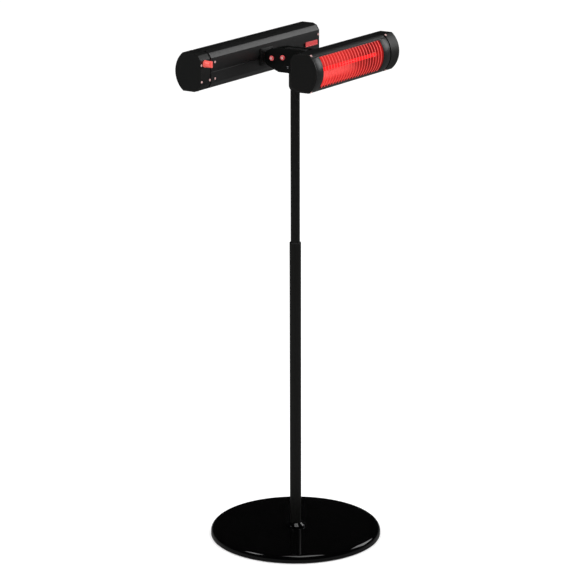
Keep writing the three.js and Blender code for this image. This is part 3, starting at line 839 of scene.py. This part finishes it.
def mount(piece, head, slot, material, *nodes, body="head"):
    """Hangs a finished piece on its head, where it stands for nodes of that head."""
    fit(hang(piece, head), f"{head}_{body}", slot, material, *(f"{head}_{node}" for node in nodes))


def slice_off(piece, point, normal, fill=True):
    """Cuts away all that is beyond a plane, and closes the cut."""
    open_mesh(piece, select="SELECT")
    bpy.ops.mesh.bisect(plane_co=point, plane_no=normal, use_fill=fill, clear_outer=True)
    close_mesh()


def score(piece, point, normal):
    """Adds an edge loop where a plane meets a piece."""
    open_mesh(piece, select="SELECT")
    bpy.ops.mesh.bisect(plane_co=point, plane_no=normal)
    close_mesh()


section_low, section_high = own_box("front", "end_plate")
HEAD_TOP = section_high.z
BACK_Y = section_high.y
CHORD_Y = BACK_Y - HEAD_DEPTH
FRONT_BULGE = CHORD_Y - section_low.y
ARC_R = (HEAD_TOP ** 2 + FRONT_BULGE ** 2) / (2 * FRONT_BULGE)
ARC_Y = CHORD_Y - FRONT_BULGE + ARC_R


def d_bar(name, start_x, end_x, inset=0.0):
    """A solid bar of the head's section along X, drawn in by an inset."""
    bar = round_bar(name, ((start_x + end_x) / 2, ARC_Y, 0), ARC_R - inset, end_x - start_x, "X",
                    SECTION_SIDES)
    corners = [(CHORD_Y + TOP_FLAT, HEAD_TOP), (CHORD_Y + SHOULDER_DEPTH, SHOULDER_Z),
               (BACK_Y, BACK_HALF_Z)]
    slice_off(bar, (0, BACK_Y - inset, 0), (0, 1, 0))
    planes = [(corners[0], (0, 1))]
    for (y0, z0), (y1, z1) in zip(corners, corners[1:]):
        planes.append(((y0, z0), (z0 - z1, y1 - y0)))
    for (y, z), (normal_y, normal_z) in planes:
        normal = Vector((0, normal_y, normal_z)).normalized()
        for half in (1, -1):
            outward = Vector((0, normal.y, half * normal.z))
            slice_off(bar, Vector((0, y, half * z)) - inset * outward, outward)
    open_mesh(bar, select="SELECT")
    bpy.ops.mesh.remove_doubles(threshold=SLIVER)
    bpy.ops.mesh.normals_make_consistent(inside=False)
    close_mesh()
    return bar


def sink_panel(piece, test, rim, slope, depth):
    """Sinks the middle of the faces that pass a test, and leaves a rim round it."""
    pick_faces(piece, test)
    bpy.ops.mesh.inset(thickness=rim, depth=0)
    bpy.ops.mesh.inset(thickness=slope, depth=-depth)
    close_mesh()


for head in HEADS:
    low, high = own_box(head, "end_plate")
    end_plate = d_bar(f"{head}_end_plate_cast", low.x, high.x)
    sink_panel(end_plate, lambda middle, normal: normal.x < -0.9, END_RIM, PANEL_SLOPE,
               END_PANEL_DEPTH)
    soften(end_plate, END_BEVEL, segments=3, angle=30)
    mount(end_plate, head, "black_cast_aluminium", cast_aluminium, "end_plate")


# ---------------- head housings
# The extruded shell is open in front between two lips. A groove along its back takes the lug's clamp
# bolts and can be slid to any place. The extrusion is brushed, then coated in satin black.

WALL = 0.0022
LIP_Z = 0.055
GROOVE_HALF = 0.006
GROOVE_DEPTH = 0.004
GROOVE_GAP = 0.0005
EXTRUSION_BEVEL = 0.0005
SEAM_SET_BACK = 0.0028


def build_draw_lines():
    """Faint lines drawn along X by the extrusion die, as a height."""
    group, given, result = new_group("draw_lines", {"Height": "Float"}, Line_Size=0.0005, Stretch=0.01)
    place = add_node(group, "SeparateXYZ", Vector=object_place(group)).outputs
    drawn = add_node(group, "CombineXYZ", X=calculate(group, "MULTIPLY", place["X"], given["Stretch"]),
                     Y=place["Y"], Z=place["Z"])
    feed(result["Height"], noise_of_size(group, given["Line Size"], 2, drawn.outputs["Vector"]))
    return group


def raise_height(material, group, strength, distance, **values):
    """Bumps a material's own normal by a group's height."""
    tree = material.node_tree
    normal = tree.nodes["Principled BSDF"].inputs["Normal"]
    height = add_node(tree, "Group", node_tree=group, **values)
    bump = add_node(tree, "Bump", Strength=strength, Distance=distance,
                    Normal=normal.links[0].from_socket, Height=height.outputs["Height"])
    feed(normal, bump.outputs["Normal"])


draw_lines = build_draw_lines()
coated_aluminium = surface("coated_black_aluminium", (0.0094, 0.0096, 0.0097), 0.35, grain=0.0008,
                           depth=0.12, drift=0.015, dust=0.001)
raise_height(coated_aluminium, draw_lines, 0.12, 0.0003, Line_Size=0.0007, Stretch=0.01)
wear_edges(coated_aluminium, (0.12, 0.12, 0.125), speck=0.006)


def clear_groove(piece):
    """Notches a plate inside a head where the housing's groove stands in its way."""
    ends = [corner[0] for corner in piece.bound_box]
    half = GROOVE_HALF + WALL + GROOVE_GAP
    floor_y = BACK_Y - GROOVE_DEPTH - WALL - GROOVE_GAP
    cut(piece, box_between("notch", (min(ends) - OVERLAP, floor_y, -half),
                           (max(ends) + OVERLAP, BACK_Y, half)))


for head in HEADS:
    low, high = own_box(head, "housing")
    housing = d_bar(f"{head}_housing_extruded", low.x, high.x - SEAM_SET_BACK)
    for height in (LIP_Z, -LIP_Z, GROOVE_HALF, -GROOVE_HALF):
        score(housing, (0, 0, height), (0, 0, 1))
    drop_faces(housing, lambda middle, normal: abs(normal.x) > 0.9
               or (abs(middle.z) < LIP_Z and middle.y < CHORD_Y))
    pick_faces(housing, lambda middle, normal: normal.y > 0.9 and abs(middle.z) < GROOVE_HALF)
    bpy.ops.mesh.extrude_region_move(TRANSFORM_OT_translate={"value": (0, -GROOVE_DEPTH, 0)})
    close_mesh()
    thicken(housing, WALL)
    soften(housing, EXTRUSION_BEVEL, angle=12)
    mount(housing, head, "black_coated_aluminium", coated_aluminium, "housing")


# ---------------- control caps and bulkheads
# A moulded cap closes the other end and holds the switch. A bulkhead fits into the extrusion's end to
# keep the wiring apart from the heat, and leaves a dark seam between the cap and the extrusion.

CAP_WALL = 0.0026
CAP_RIM = 0.003
CAP_PANEL_DEPTH = 0.0006
BULKHEAD_SKIRT = 0.006
BULKHEAD_INSET = 0.0027

for head in HEADS:
    low, high = own_box(head, "control_cap")
    cap = d_bar(f"{head}_control_cap_moulded", low.x + SEAM_SET_BACK, high.x)
    sink_panel(cap, lambda middle, normal: normal.x > 0.9, CAP_RIM, PANEL_SLOPE,
               CAP_PANEL_DEPTH)
    drop_faces(cap, lambda middle, normal: normal.x < -0.9)
    thicken(cap, CAP_WALL)
    soften(cap, END_BEVEL, segments=3, angle=12)
    mount(cap, head, "black_plastic", black_plastic, "control_cap")
    low, high = own_box(head, "bulkhead")
    bulkhead = d_bar(f"{head}_bulkhead_moulded", low.x - BULKHEAD_SKIRT, high.x, BULKHEAD_INSET)
    clear_groove(bulkhead)
    soften(bulkhead, EXTRUSION_BEVEL, angle=12)
    mount(bulkhead, head, "black_plastic", powder, "bulkhead")
    paint(nylon, f"{head}_switch", f"{head}_terminal_block")


# ---------------- guards
# A curved frame pressed from black sheet slides in behind the lips. Bright steel bars, bent round the
# same arc and welded in a row, keep fingers off the lamp. The bars' red colour and faint red glow are a
# painted reflection of the lamp's light.

GUARD_T = 0.0016
GUARD_TUCK = 0.0053
GUARD_BEVEL = 0.0003
WINDOW_Z = LIP_Z - 0.003
WINDOW_END_GAP = 0.0007
FRONT_BAND = 0.042
BAR_PITCH = 0.0176
BAR_HALF_W = 0.0022
BAR_HALF_T = 0.0008
BAR_STEPS = 18
BAR_TAIL = 0.001

# The bars are tinted red and given a faint red glow: a painted reflection of the lamp's light.
steel_with_painted_red_glow = surface("steel_bars_with_painted_red_glow", (0.55, 0.09, 0.08), 0.35, grain=0.0006, depth=0.1,
                       drift=0.08, dust=0.03, Metallic=0.7, Emission_Color=(1, 0.075, 0.068, 1),
                       Emission_Strength=0.62)

for head in HEADS:
    low, high = own_box(head, "guard")
    window_start = low.x - GUARD_TUCK + FRONT_BAND + BAR_HALF_W
    window_end = own_box(head, "reflector")[1].x - WINDOW_END_GAP - BAR_HALF_W
    guard_frame = round_bar(f"{head}_guard_frame", ((low.x + high.x) / 2, ARC_Y, 0), ARC_R - FIT_GAP,
                            high.x - low.x, "X", SECTION_SIDES)
    drop_faces(guard_frame, lambda middle, normal: abs(normal.x) > 0.9)
    slice_off(guard_frame, (0, ARC_Y, 0), (0, 1, 0), fill=False)
    for half in (1, -1):
        slice_off(guard_frame, (0, 0, half * high.z), (0, 0, half), fill=False)
        score(guard_frame, (0, 0, half * WINDOW_Z), (0, 0, half))
    for end_x in (window_start, window_end):
        score(guard_frame, (end_x, 0, 0), (1, 0, 0))
    drop_faces(guard_frame, lambda middle, normal: window_start < middle.x < window_end
               and abs(middle.z) < WINDOW_Z)
    thicken(guard_frame, GUARD_T)
    soften(guard_frame, GUARD_BEVEL, angle=30)
    mount(guard_frame, head, "guard_steel", coated_aluminium, "guard")

    bar_arc_r = ARC_R - FIT_GAP - GUARD_T / 2
    bar_half_angle = math.asin((WINDOW_Z + BAR_TAIL) / bar_arc_r)
    row = window_end - window_start + 2 * BAR_HALF_W
    count = round(row / BAR_PITCH) - 1
    pitch = row / (count + 1)
    deselect_all()
    bpy.ops.mesh.primitive_circle_add(vertices=8, radius=1, fill_type="NGON")
    one_bar = bpy.context.object
    one_bar.scale = (BAR_HALF_W, BAR_HALF_T, 1)
    one_bar.rotation_euler = (bar_half_angle, 0, 0)
    one_bar.location = (0, ARC_Y - bar_arc_r * math.cos(bar_half_angle),
                        -bar_arc_r * math.sin(bar_half_angle))
    one_bar = name_piece("one_bar")
    open_mesh(one_bar, select="SELECT")
    bpy.ops.mesh.spin(steps=BAR_STEPS, angle=2 * bar_half_angle, center=(0, ARC_Y, 0), axis=(1, 0, 0))
    bpy.ops.mesh.select_all(action="SELECT")
    bpy.ops.mesh.normals_make_consistent(inside=False)
    close_mesh()
    bars = [copy_piece(one_bar, "bar", (window_start - BAR_HALF_W + pitch * (index + 1), 0, 0))
            for index in range(count)]
    guard_bars = rename(join(*bars), f"{head}_guard_bars")
    smooth(guard_bars, 60)
    discard(one_bar)
    mount(guard_bars, head, "guard_steel", steel_with_painted_red_glow)


# ---------------- reflectors
# A trough of hammered, polished aluminium sheet throws the heat forward, between two flat end shields.
# Its red tint and its glow are painted light from the lamp, and the painted glow fades to a dim red
# towards the end by the control cap.

MIRROR_HALF_Z = 0.05
MIRROR_DEPTH = 0.038
MIRROR_T = 0.0008
MIRROR_SIDES = 96
MIRROR_GLOW = 0.52
GLOW_FADE_LENGTH = 0.15
SHIELD_T = 0.0016
SHIELD_INSET = 0.0035
SHIELD_GAP = 0.0002
SHIELD_BEVEL = 0.0002
MOUTH_SET_BACK = 0.002
LAMP_HOLE_R = 0.0085


def build_hammering():
    """Rows of small hammered dimples, as a height."""
    group, given, result = new_group("hammering", {"Height": "Float"}, Dimple_Size=0.006)
    cells = add_node(group, "TexVoronoi", feature="SMOOTH_F1", Randomness=0.6, Vector=object_place(group),
                     Scale=calculate(group, "DIVIDE", 1, given["Dimple Size"]))
    feed(result["Height"], cells.outputs["Distance"])
    return group


def build_glow_fade():
    """Falls from one to nothing along X, from the hot part of a lamp to its cold end, as a mask that
    fades a painted glow.
    """
    group, given, result = new_group("glow_fade", {"Painted Glow": "Float"}, Hot_X=0.0, Cold_X=0.1)
    place = add_node(group, "SeparateXYZ", Vector=object_place(group))
    feed(result["Painted Glow"], between(group, place.outputs["X"], given["Hot X"], given["Cold X"], 1, 0))
    return group


hammering = build_hammering()
glow_fade = build_glow_fade()


def glow(material, dull, bright, size, strength):
    """Lets a material give off light whose colour drifts between two reds."""
    tree = material.node_tree
    shader = tree.nodes["Principled BSDF"]
    shader.inputs["Emission Strength"].default_value = strength
    drift = clouds(tree, size, 2, 0.35, 0.65)
    feed(shader.inputs["Emission Color"], mix_colors(tree, drift, dull, bright))


def fade_painted_glow(material, cold, hot_x, cold_x):
    """Lets a painted glow die down to a dim colour towards one end of a head."""
    tree = material.node_tree
    color = tree.nodes["Principled BSDF"].inputs["Emission Color"]
    fade = add_node(tree, "Group", node_tree=glow_fade, Hot_X=hot_x, Cold_X=cold_x)
    feed(color, mix_colors(tree, fade.outputs["Painted Glow"], cold, color.links[0].from_socket))


for head in HEADS:
    low, high = own_box(head, "reflector")
    way = -1 if pivots[head].y > 0 else 1
    # The mirror's red base colour and its red glow are painted light from the lamp, and the painted glow
    # fades towards the control cap.
    mirror = surface(f"{head}_polished_aluminium_painted_red_glow", (0.4, 0.04, 0.038), 0.35, grain=0.003, depth=0.1,
                     drift=0.05, dust=0.04, Metallic=1)
    raise_height(mirror, hammering, 0.35, 0.001, Dimple_Size=0.007)
    glow(mirror, (0.62, 0.034, 0.032), (0.85, 0.055, 0.048), 0.12, MIRROR_GLOW)
    fade_painted_glow(mirror, (0.2, 0.018, 0.018), way * (high.x - GLOW_FADE_LENGTH), way * high.x)

    lamp_low, lamp_high = own_box(head, "lamp_tube")
    lamp_y = (lamp_low.y + lamp_high.y) / 2
    mouth_y = CHORD_Y - MOUTH_SET_BACK
    start_x, end_x = low.x + SHIELD_T, high.x - SHIELD_T
    middle_x, length = (start_x + end_x) / 2, end_x - start_x
    trough = round_bar(f"{head}_reflector_trough", (middle_x, 0, 0), MIRROR_HALF_Z, length, "X",
                       MIRROR_SIDES)
    trough.scale = (1, MIRROR_DEPTH / MIRROR_HALF_Z, 1)
    trough.location = (0, mouth_y, 0)
    settle(trough)
    drop_faces(trough, lambda middle, normal: abs(normal.x) > 0.9)
    slice_off(trough, (0, mouth_y, 0), (0, -1, 0), fill=False)
    thicken(trough, MIRROR_T, offset=1)
    smooth(trough, 40)
    mount(trough, head, "polished_aluminium", mirror, "reflector")

    for side, shield_x in (("plain", low.x), ("cap", end_x + SHIELD_GAP)):
        shield = d_bar(f"{head}_end_shield_{side}", shield_x, shield_x + SHIELD_T - SHIELD_GAP,
                       SHIELD_INSET)
        cut(shield, round_bar("lamp_hole", (shield_x, lamp_y, 0), LAMP_HOLE_R, 0.01, "X", 32))
        clear_groove(shield)
        soften(shield, SHIELD_BEVEL, angle=30)
        mount(shield, head, "polished_aluminium", mirror)


# ---------------- lamps
# A ruby quartz tube with a coiled tungsten wire runs between two ceramic holders, whose legs stand on the
# back wall. The frame's own holders keep their shape.

COIL_R = 0.0021
COIL_WIRE_R = 0.0004
COIL_PITCH = 0.0028
QUARTZ_T = 0.0012
QUARTZ_EDGE = 0.0004

ceramic = surface("glazed_ceramic", (0.62, 0.58, 0.52), 0.5, grain=0.0012, depth=0.35, dust=0.15)
mottle(ceramic, (0.42, 0.36, 0.31), 0.008, 0.5)
ruby_quartz = surface("ruby_quartz", (0.6, 0.006, 0.008), 0.1, grain=0.006, depth=0.03, drift=0.03,
                      dust=0.005, IOR=1.46, Specular_IOR_Level=0.12)
glow(ruby_quartz, (1, 0.014, 0.017), (1, 0.024, 0.027), 0.05, 1.0)
tungsten = surface("glowing_tungsten", (0.6, 0.1, 0.05), 0.4, grain=0.0005, depth=0.2, dust=0.02)
glow(tungsten, (1, 0.2, 0.08), (1, 0.4, 0.2), 0.01, 4)

for head in HEADS:
    low, high = own_box(head, "lamp_tube")
    lamp_y, lamp_r = (low.y + high.y) / 2, high.z
    sleeve_profile = [(lamp_r - QUARTZ_T, low.x), (lamp_r - QUARTZ_EDGE, low.x),
                      (lamp_r, low.x + QUARTZ_EDGE), (lamp_r, high.x - QUARTZ_EDGE),
                      (lamp_r - QUARTZ_EDGE, high.x), (lamp_r - QUARTZ_T, high.x)]
    lamp = turned(f"{head}_lamp_sleeve", ring(sleeve_profile), sides=40, axis="X", centre=(0, lamp_y, 0))
    smooth(lamp, 50)
    mount(lamp, head, "ruby_quartz", ruby_quartz, "lamp_tube")

    low, high = own_box(head, "filament")
    deselect_all()
    bpy.ops.mesh.primitive_circle_add(vertices=5, radius=COIL_WIRE_R, fill_type="NOTHING",
                                      rotation=(math.pi / 2, 0, 0), location=(COIL_R, 0, 0))
    coil = name_piece(f"{head}_filament_coil")
    turns = int((high.x - low.x) / COIL_PITCH)
    modify(coil, "SCREW", axis="Z", angle=2 * math.pi, screw_offset=COIL_PITCH, iterations=turns,
           steps=10, render_steps=10, use_merge_vertices=True)
    open_mesh(coil, "EDGE")
    bpy.ops.mesh.select_non_manifold()
    bpy.ops.mesh.edge_face_add()
    close_mesh()
    coil.rotation_euler = (0, math.pi / 2, 0)
    coil.location = (low.x, lamp_y, 0)
    settle(coil)
    smooth(coil, 60)
    mount(coil, head, "glowing_filament", tungsten, "filament")
    paint(ceramic, f"{head}_lamp_holder_outer", f"{head}_lamp_holder_inner")


# ---------------- tilting lugs
# A cast lug is bolted to the back of each head. Its eye turns on the outer bracket bolt, between the
# plates, and is tightened by the bolt's nut.

LUG_EYE_R = 0.014
LUG_CORNER_R = 0.008
BOLT_BORE_R = 0.0061
FLANGE_T = 0.006
LUG_FLARE = 0.006
LUG_SCREW_X = 0.0295
LUG_SCREW_Z = 0.0215

for head in HEADS:
    low, high = own_box(head, "lug")
    flange_back = low.y + FLANGE_T
    flange = box_between(f"{head}_lug_cast", low, (high.x, flange_back, high.z))
    round_long_edges(flange, 1, LUG_CORNER_R, 6)
    eye_half_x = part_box("pole_head")[1].x
    eye = round_bar("eye", (0, 0, 0), LUG_EYE_R, 2 * eye_half_x, "X", 64)
    root = box_between("root", (-eye_half_x, low.y + 0.001, -LUG_EYE_R - LUG_FLARE),
                       (eye_half_x, low.y + 0.003, LUG_EYE_R + LUG_FLARE))
    combine(flange, wrap(join(eye, root)))
    cut(flange, round_bar("bore", (0, 0, 0), BOLT_BORE_R, 0.1, "X", 48))
    soften(flange, CASTING_BEVEL, angle=30)
    mount(flange, head, "satin_black_tube", cast_aluminium, "lug")
    lug_screws = set_screws(f"{head}_lug_screws",
                            [((side * LUG_SCREW_X, flange_back, half * LUG_SCREW_Z), (0, 1, 0))
                             for side in (-1, 1) for half in (-1, 1)])
    mount(lug_screws, head, "zinc_steel", cast_aluminium)


# ---------------- control knobs
# A fluted red knob with a grip bar turns on the switch's spindle, and rides apart from its head.

KNOB_FLUTES = 18
KNOB_TAPER = 0.001
GRIP_HALF_W = 0.0026
GRIP_HEIGHT = 0.007
GRIP_FROM_RIM = 0.0014
FLUTE_R = 0.0011
SPINDLE_R = 0.003

# The red is the knob's own colour; its faint red emission is a painted glow that brightens it.
knob_red_painted_glow = surface("moulded_red_knob", (0.78, 0.1, 0.085), 0.32, grain=0.001, depth=0.15, drift=0.05,
                   dust=0.04, Coat_Weight=0.25, Coat_Roughness=0.12, Emission_Color=(1, 0.14, 0.11, 1),
                   Emission_Strength=0.12)

for head in HEADS:
    low, high = own_box(head, "knob")
    knob_x, knob_z, knob_r = (low.x + high.x) / 2, (low.z + high.z) / 2, (high.x - low.x) / 2
    foot = BACK_Y + 0.001
    body_end = high.y - GRIP_HEIGHT
    knob_profile = [(0, low.y), (SPINDLE_R, low.y), (SPINDLE_R, foot), (knob_r, foot),
                    (knob_r, foot + 0.003), (knob_r - 0.0008, foot + 0.0038),
                    (knob_r - 0.0004 - KNOB_TAPER, body_end - 0.002),
                    (knob_r - 0.0024 - KNOB_TAPER, body_end), (0, body_end)]
    knob = turned(f"{head}_knob_fluted", knob_profile, sides=72, axis="Y", centre=(knob_x, 0, knob_z))
    for flute in range(KNOB_FLUTES):
        angle = 2 * math.pi * flute / KNOB_FLUTES
        reach = knob_r + 0.0001
        middle = (knob_x + reach * math.cos(angle), (foot + 0.0045 + body_end) / 2 + 0.002,
                  knob_z + reach * math.sin(angle))
        cut(knob, round_bar("flute", middle, FLUTE_R, body_end - foot, "Y", 12))
    grip = box_between("grip", (knob_x - GRIP_HALF_W, foot + 0.008, knob_z - knob_r + GRIP_FROM_RIM),
                       (knob_x + GRIP_HALF_W, high.y, knob_z + knob_r - GRIP_FROM_RIM))
    soften(grip, 0.0009, segments=3)
    combine(knob, grip)
    smooth(knob, 35)
    mount(knob, head, "red_plastic", knob_red_painted_glow, "knob", body="dial")


# ---------------- badges
# A small red enamelled plate with a raised rim is stuck on near the plain end of each back. It is plain,
# with nothing printed on it.

BADGE_CORNER_R = 0.0035
BADGE_RIM = 0.0016
BADGE_SLOPE = 0.0004
BADGE_DEPTH = 0.0005
BADGE_BEVEL = 0.0002

# The red is the badge's own colour; its faint red emission is a painted glow that brightens it.
red_enamel_painted_glow = surface("red_enamel", (0.56, 0.055, 0.055), 0.22, grain=0.0025, depth=0.08, drift=0.05,
                     dust=0.05, Coat_Weight=0.4, Coat_Roughness=0.06, Emission_Color=(1, 0.12, 0.12, 1),
                     Emission_Strength=0.05)
mottle(red_enamel_painted_glow, (0.48, 0.04, 0.05), 0.02, 0.5)

for head in HEADS:
    low, high = own_box(head, "badge")
    badge = box_between(f"{head}_badge_plate", low, high)
    round_long_edges(badge, 1, BADGE_CORNER_R, 6)
    sink_panel(badge, lambda middle, normal: normal.y > 0.9, BADGE_RIM, BADGE_SLOPE,
               BADGE_DEPTH)
    soften(badge, BADGE_BEVEL, angle=30)
    mount(badge, head, "red_enamel", red_enamel_painted_glow, "badge")


# ---------------- head screws
# The screws that show: two rows on the back near the seam, one at the plain end, and one on each lip at
# both ends of the front.

BACK_SCREW_Z = (0.0255, -0.0295)
CAP_END_INSET = 0.0055
CAP_SEAM_INSET = 0.0045
HOUSING_SEAM_INSET = 0.026
PLAIN_END_INSET = 0.003
LIP_PLAIN_INSET = 0.004
LIP_CAP_OFFSET = 0.009
LIP_SCREW_Z = 0.0605

for head in HEADS:
    cap_low, cap_high = own_box(head, "control_cap")
    end_low, end_high = own_box(head, "end_plate")
    places = []
    for screw_z in BACK_SCREW_Z:
        for screw_x in (cap_high.x - CAP_END_INSET, cap_low.x - HOUSING_SEAM_INSET,
                        end_high.x + PLAIN_END_INSET):
            places.append(((screw_x, BACK_Y, screw_z), (0, 1, 0)))
    places.append(((cap_low.x + CAP_SEAM_INSET, BACK_Y, BACK_SCREW_Z[1]), (0, 1, 0)))
    for half in (1, -1):
        outward = Vector((0, -math.sqrt(ARC_R ** 2 - LIP_SCREW_Z ** 2), half * LIP_SCREW_Z)) / ARC_R
        for screw_x in (end_high.x + LIP_PLAIN_INSET, cap_low.x + LIP_CAP_OFFSET):
            places.append((Vector((screw_x, ARC_Y, 0)) + ARC_R * outward, outward))
    head_screws = set_screws(f"{head}_head_screws", places)
    # The head screws take the same pale pinkish colour, a painted glint.
    mount(head_screws, head, "zinc_steel", pale_steel_painted_glint)
discard(pan_screw)


# ---------------- cable glands
# A black moulded gland under each control cap is where the supply enters. It is a tapered dome with a
# plain bore, screwed into the cap.

GLAND_BORE_R = 0.0045
GLAND_NECK_R = 0.008
GLAND_BEVEL = 0.0002

for head in HEADS:
    low, high = own_box(head, "gland")
    gland_x, gland_y = (low.x + high.x) / 2, (low.y + high.y) / 2
    flange_r = (high.x - low.x) / 2
    flange_top = -HEAD_TOP - FIT_GAP
    gland_profile = [(GLAND_BORE_R, low.z), (flange_r - 0.0025, low.z),
                     (flange_r - 0.0008, low.z + 0.0008), (flange_r, flange_top),
                     (GLAND_NECK_R, flange_top), (GLAND_NECK_R, high.z), (GLAND_BORE_R, high.z)]
    gland = turned(f"{head}_gland_moulded", ring(gland_profile), sides=48, centre=(gland_x, gland_y, 0))
    soften(gland, GLAND_BEVEL, angle=30)
    mount(gland, head, "black_plastic", black_plastic, "gland")
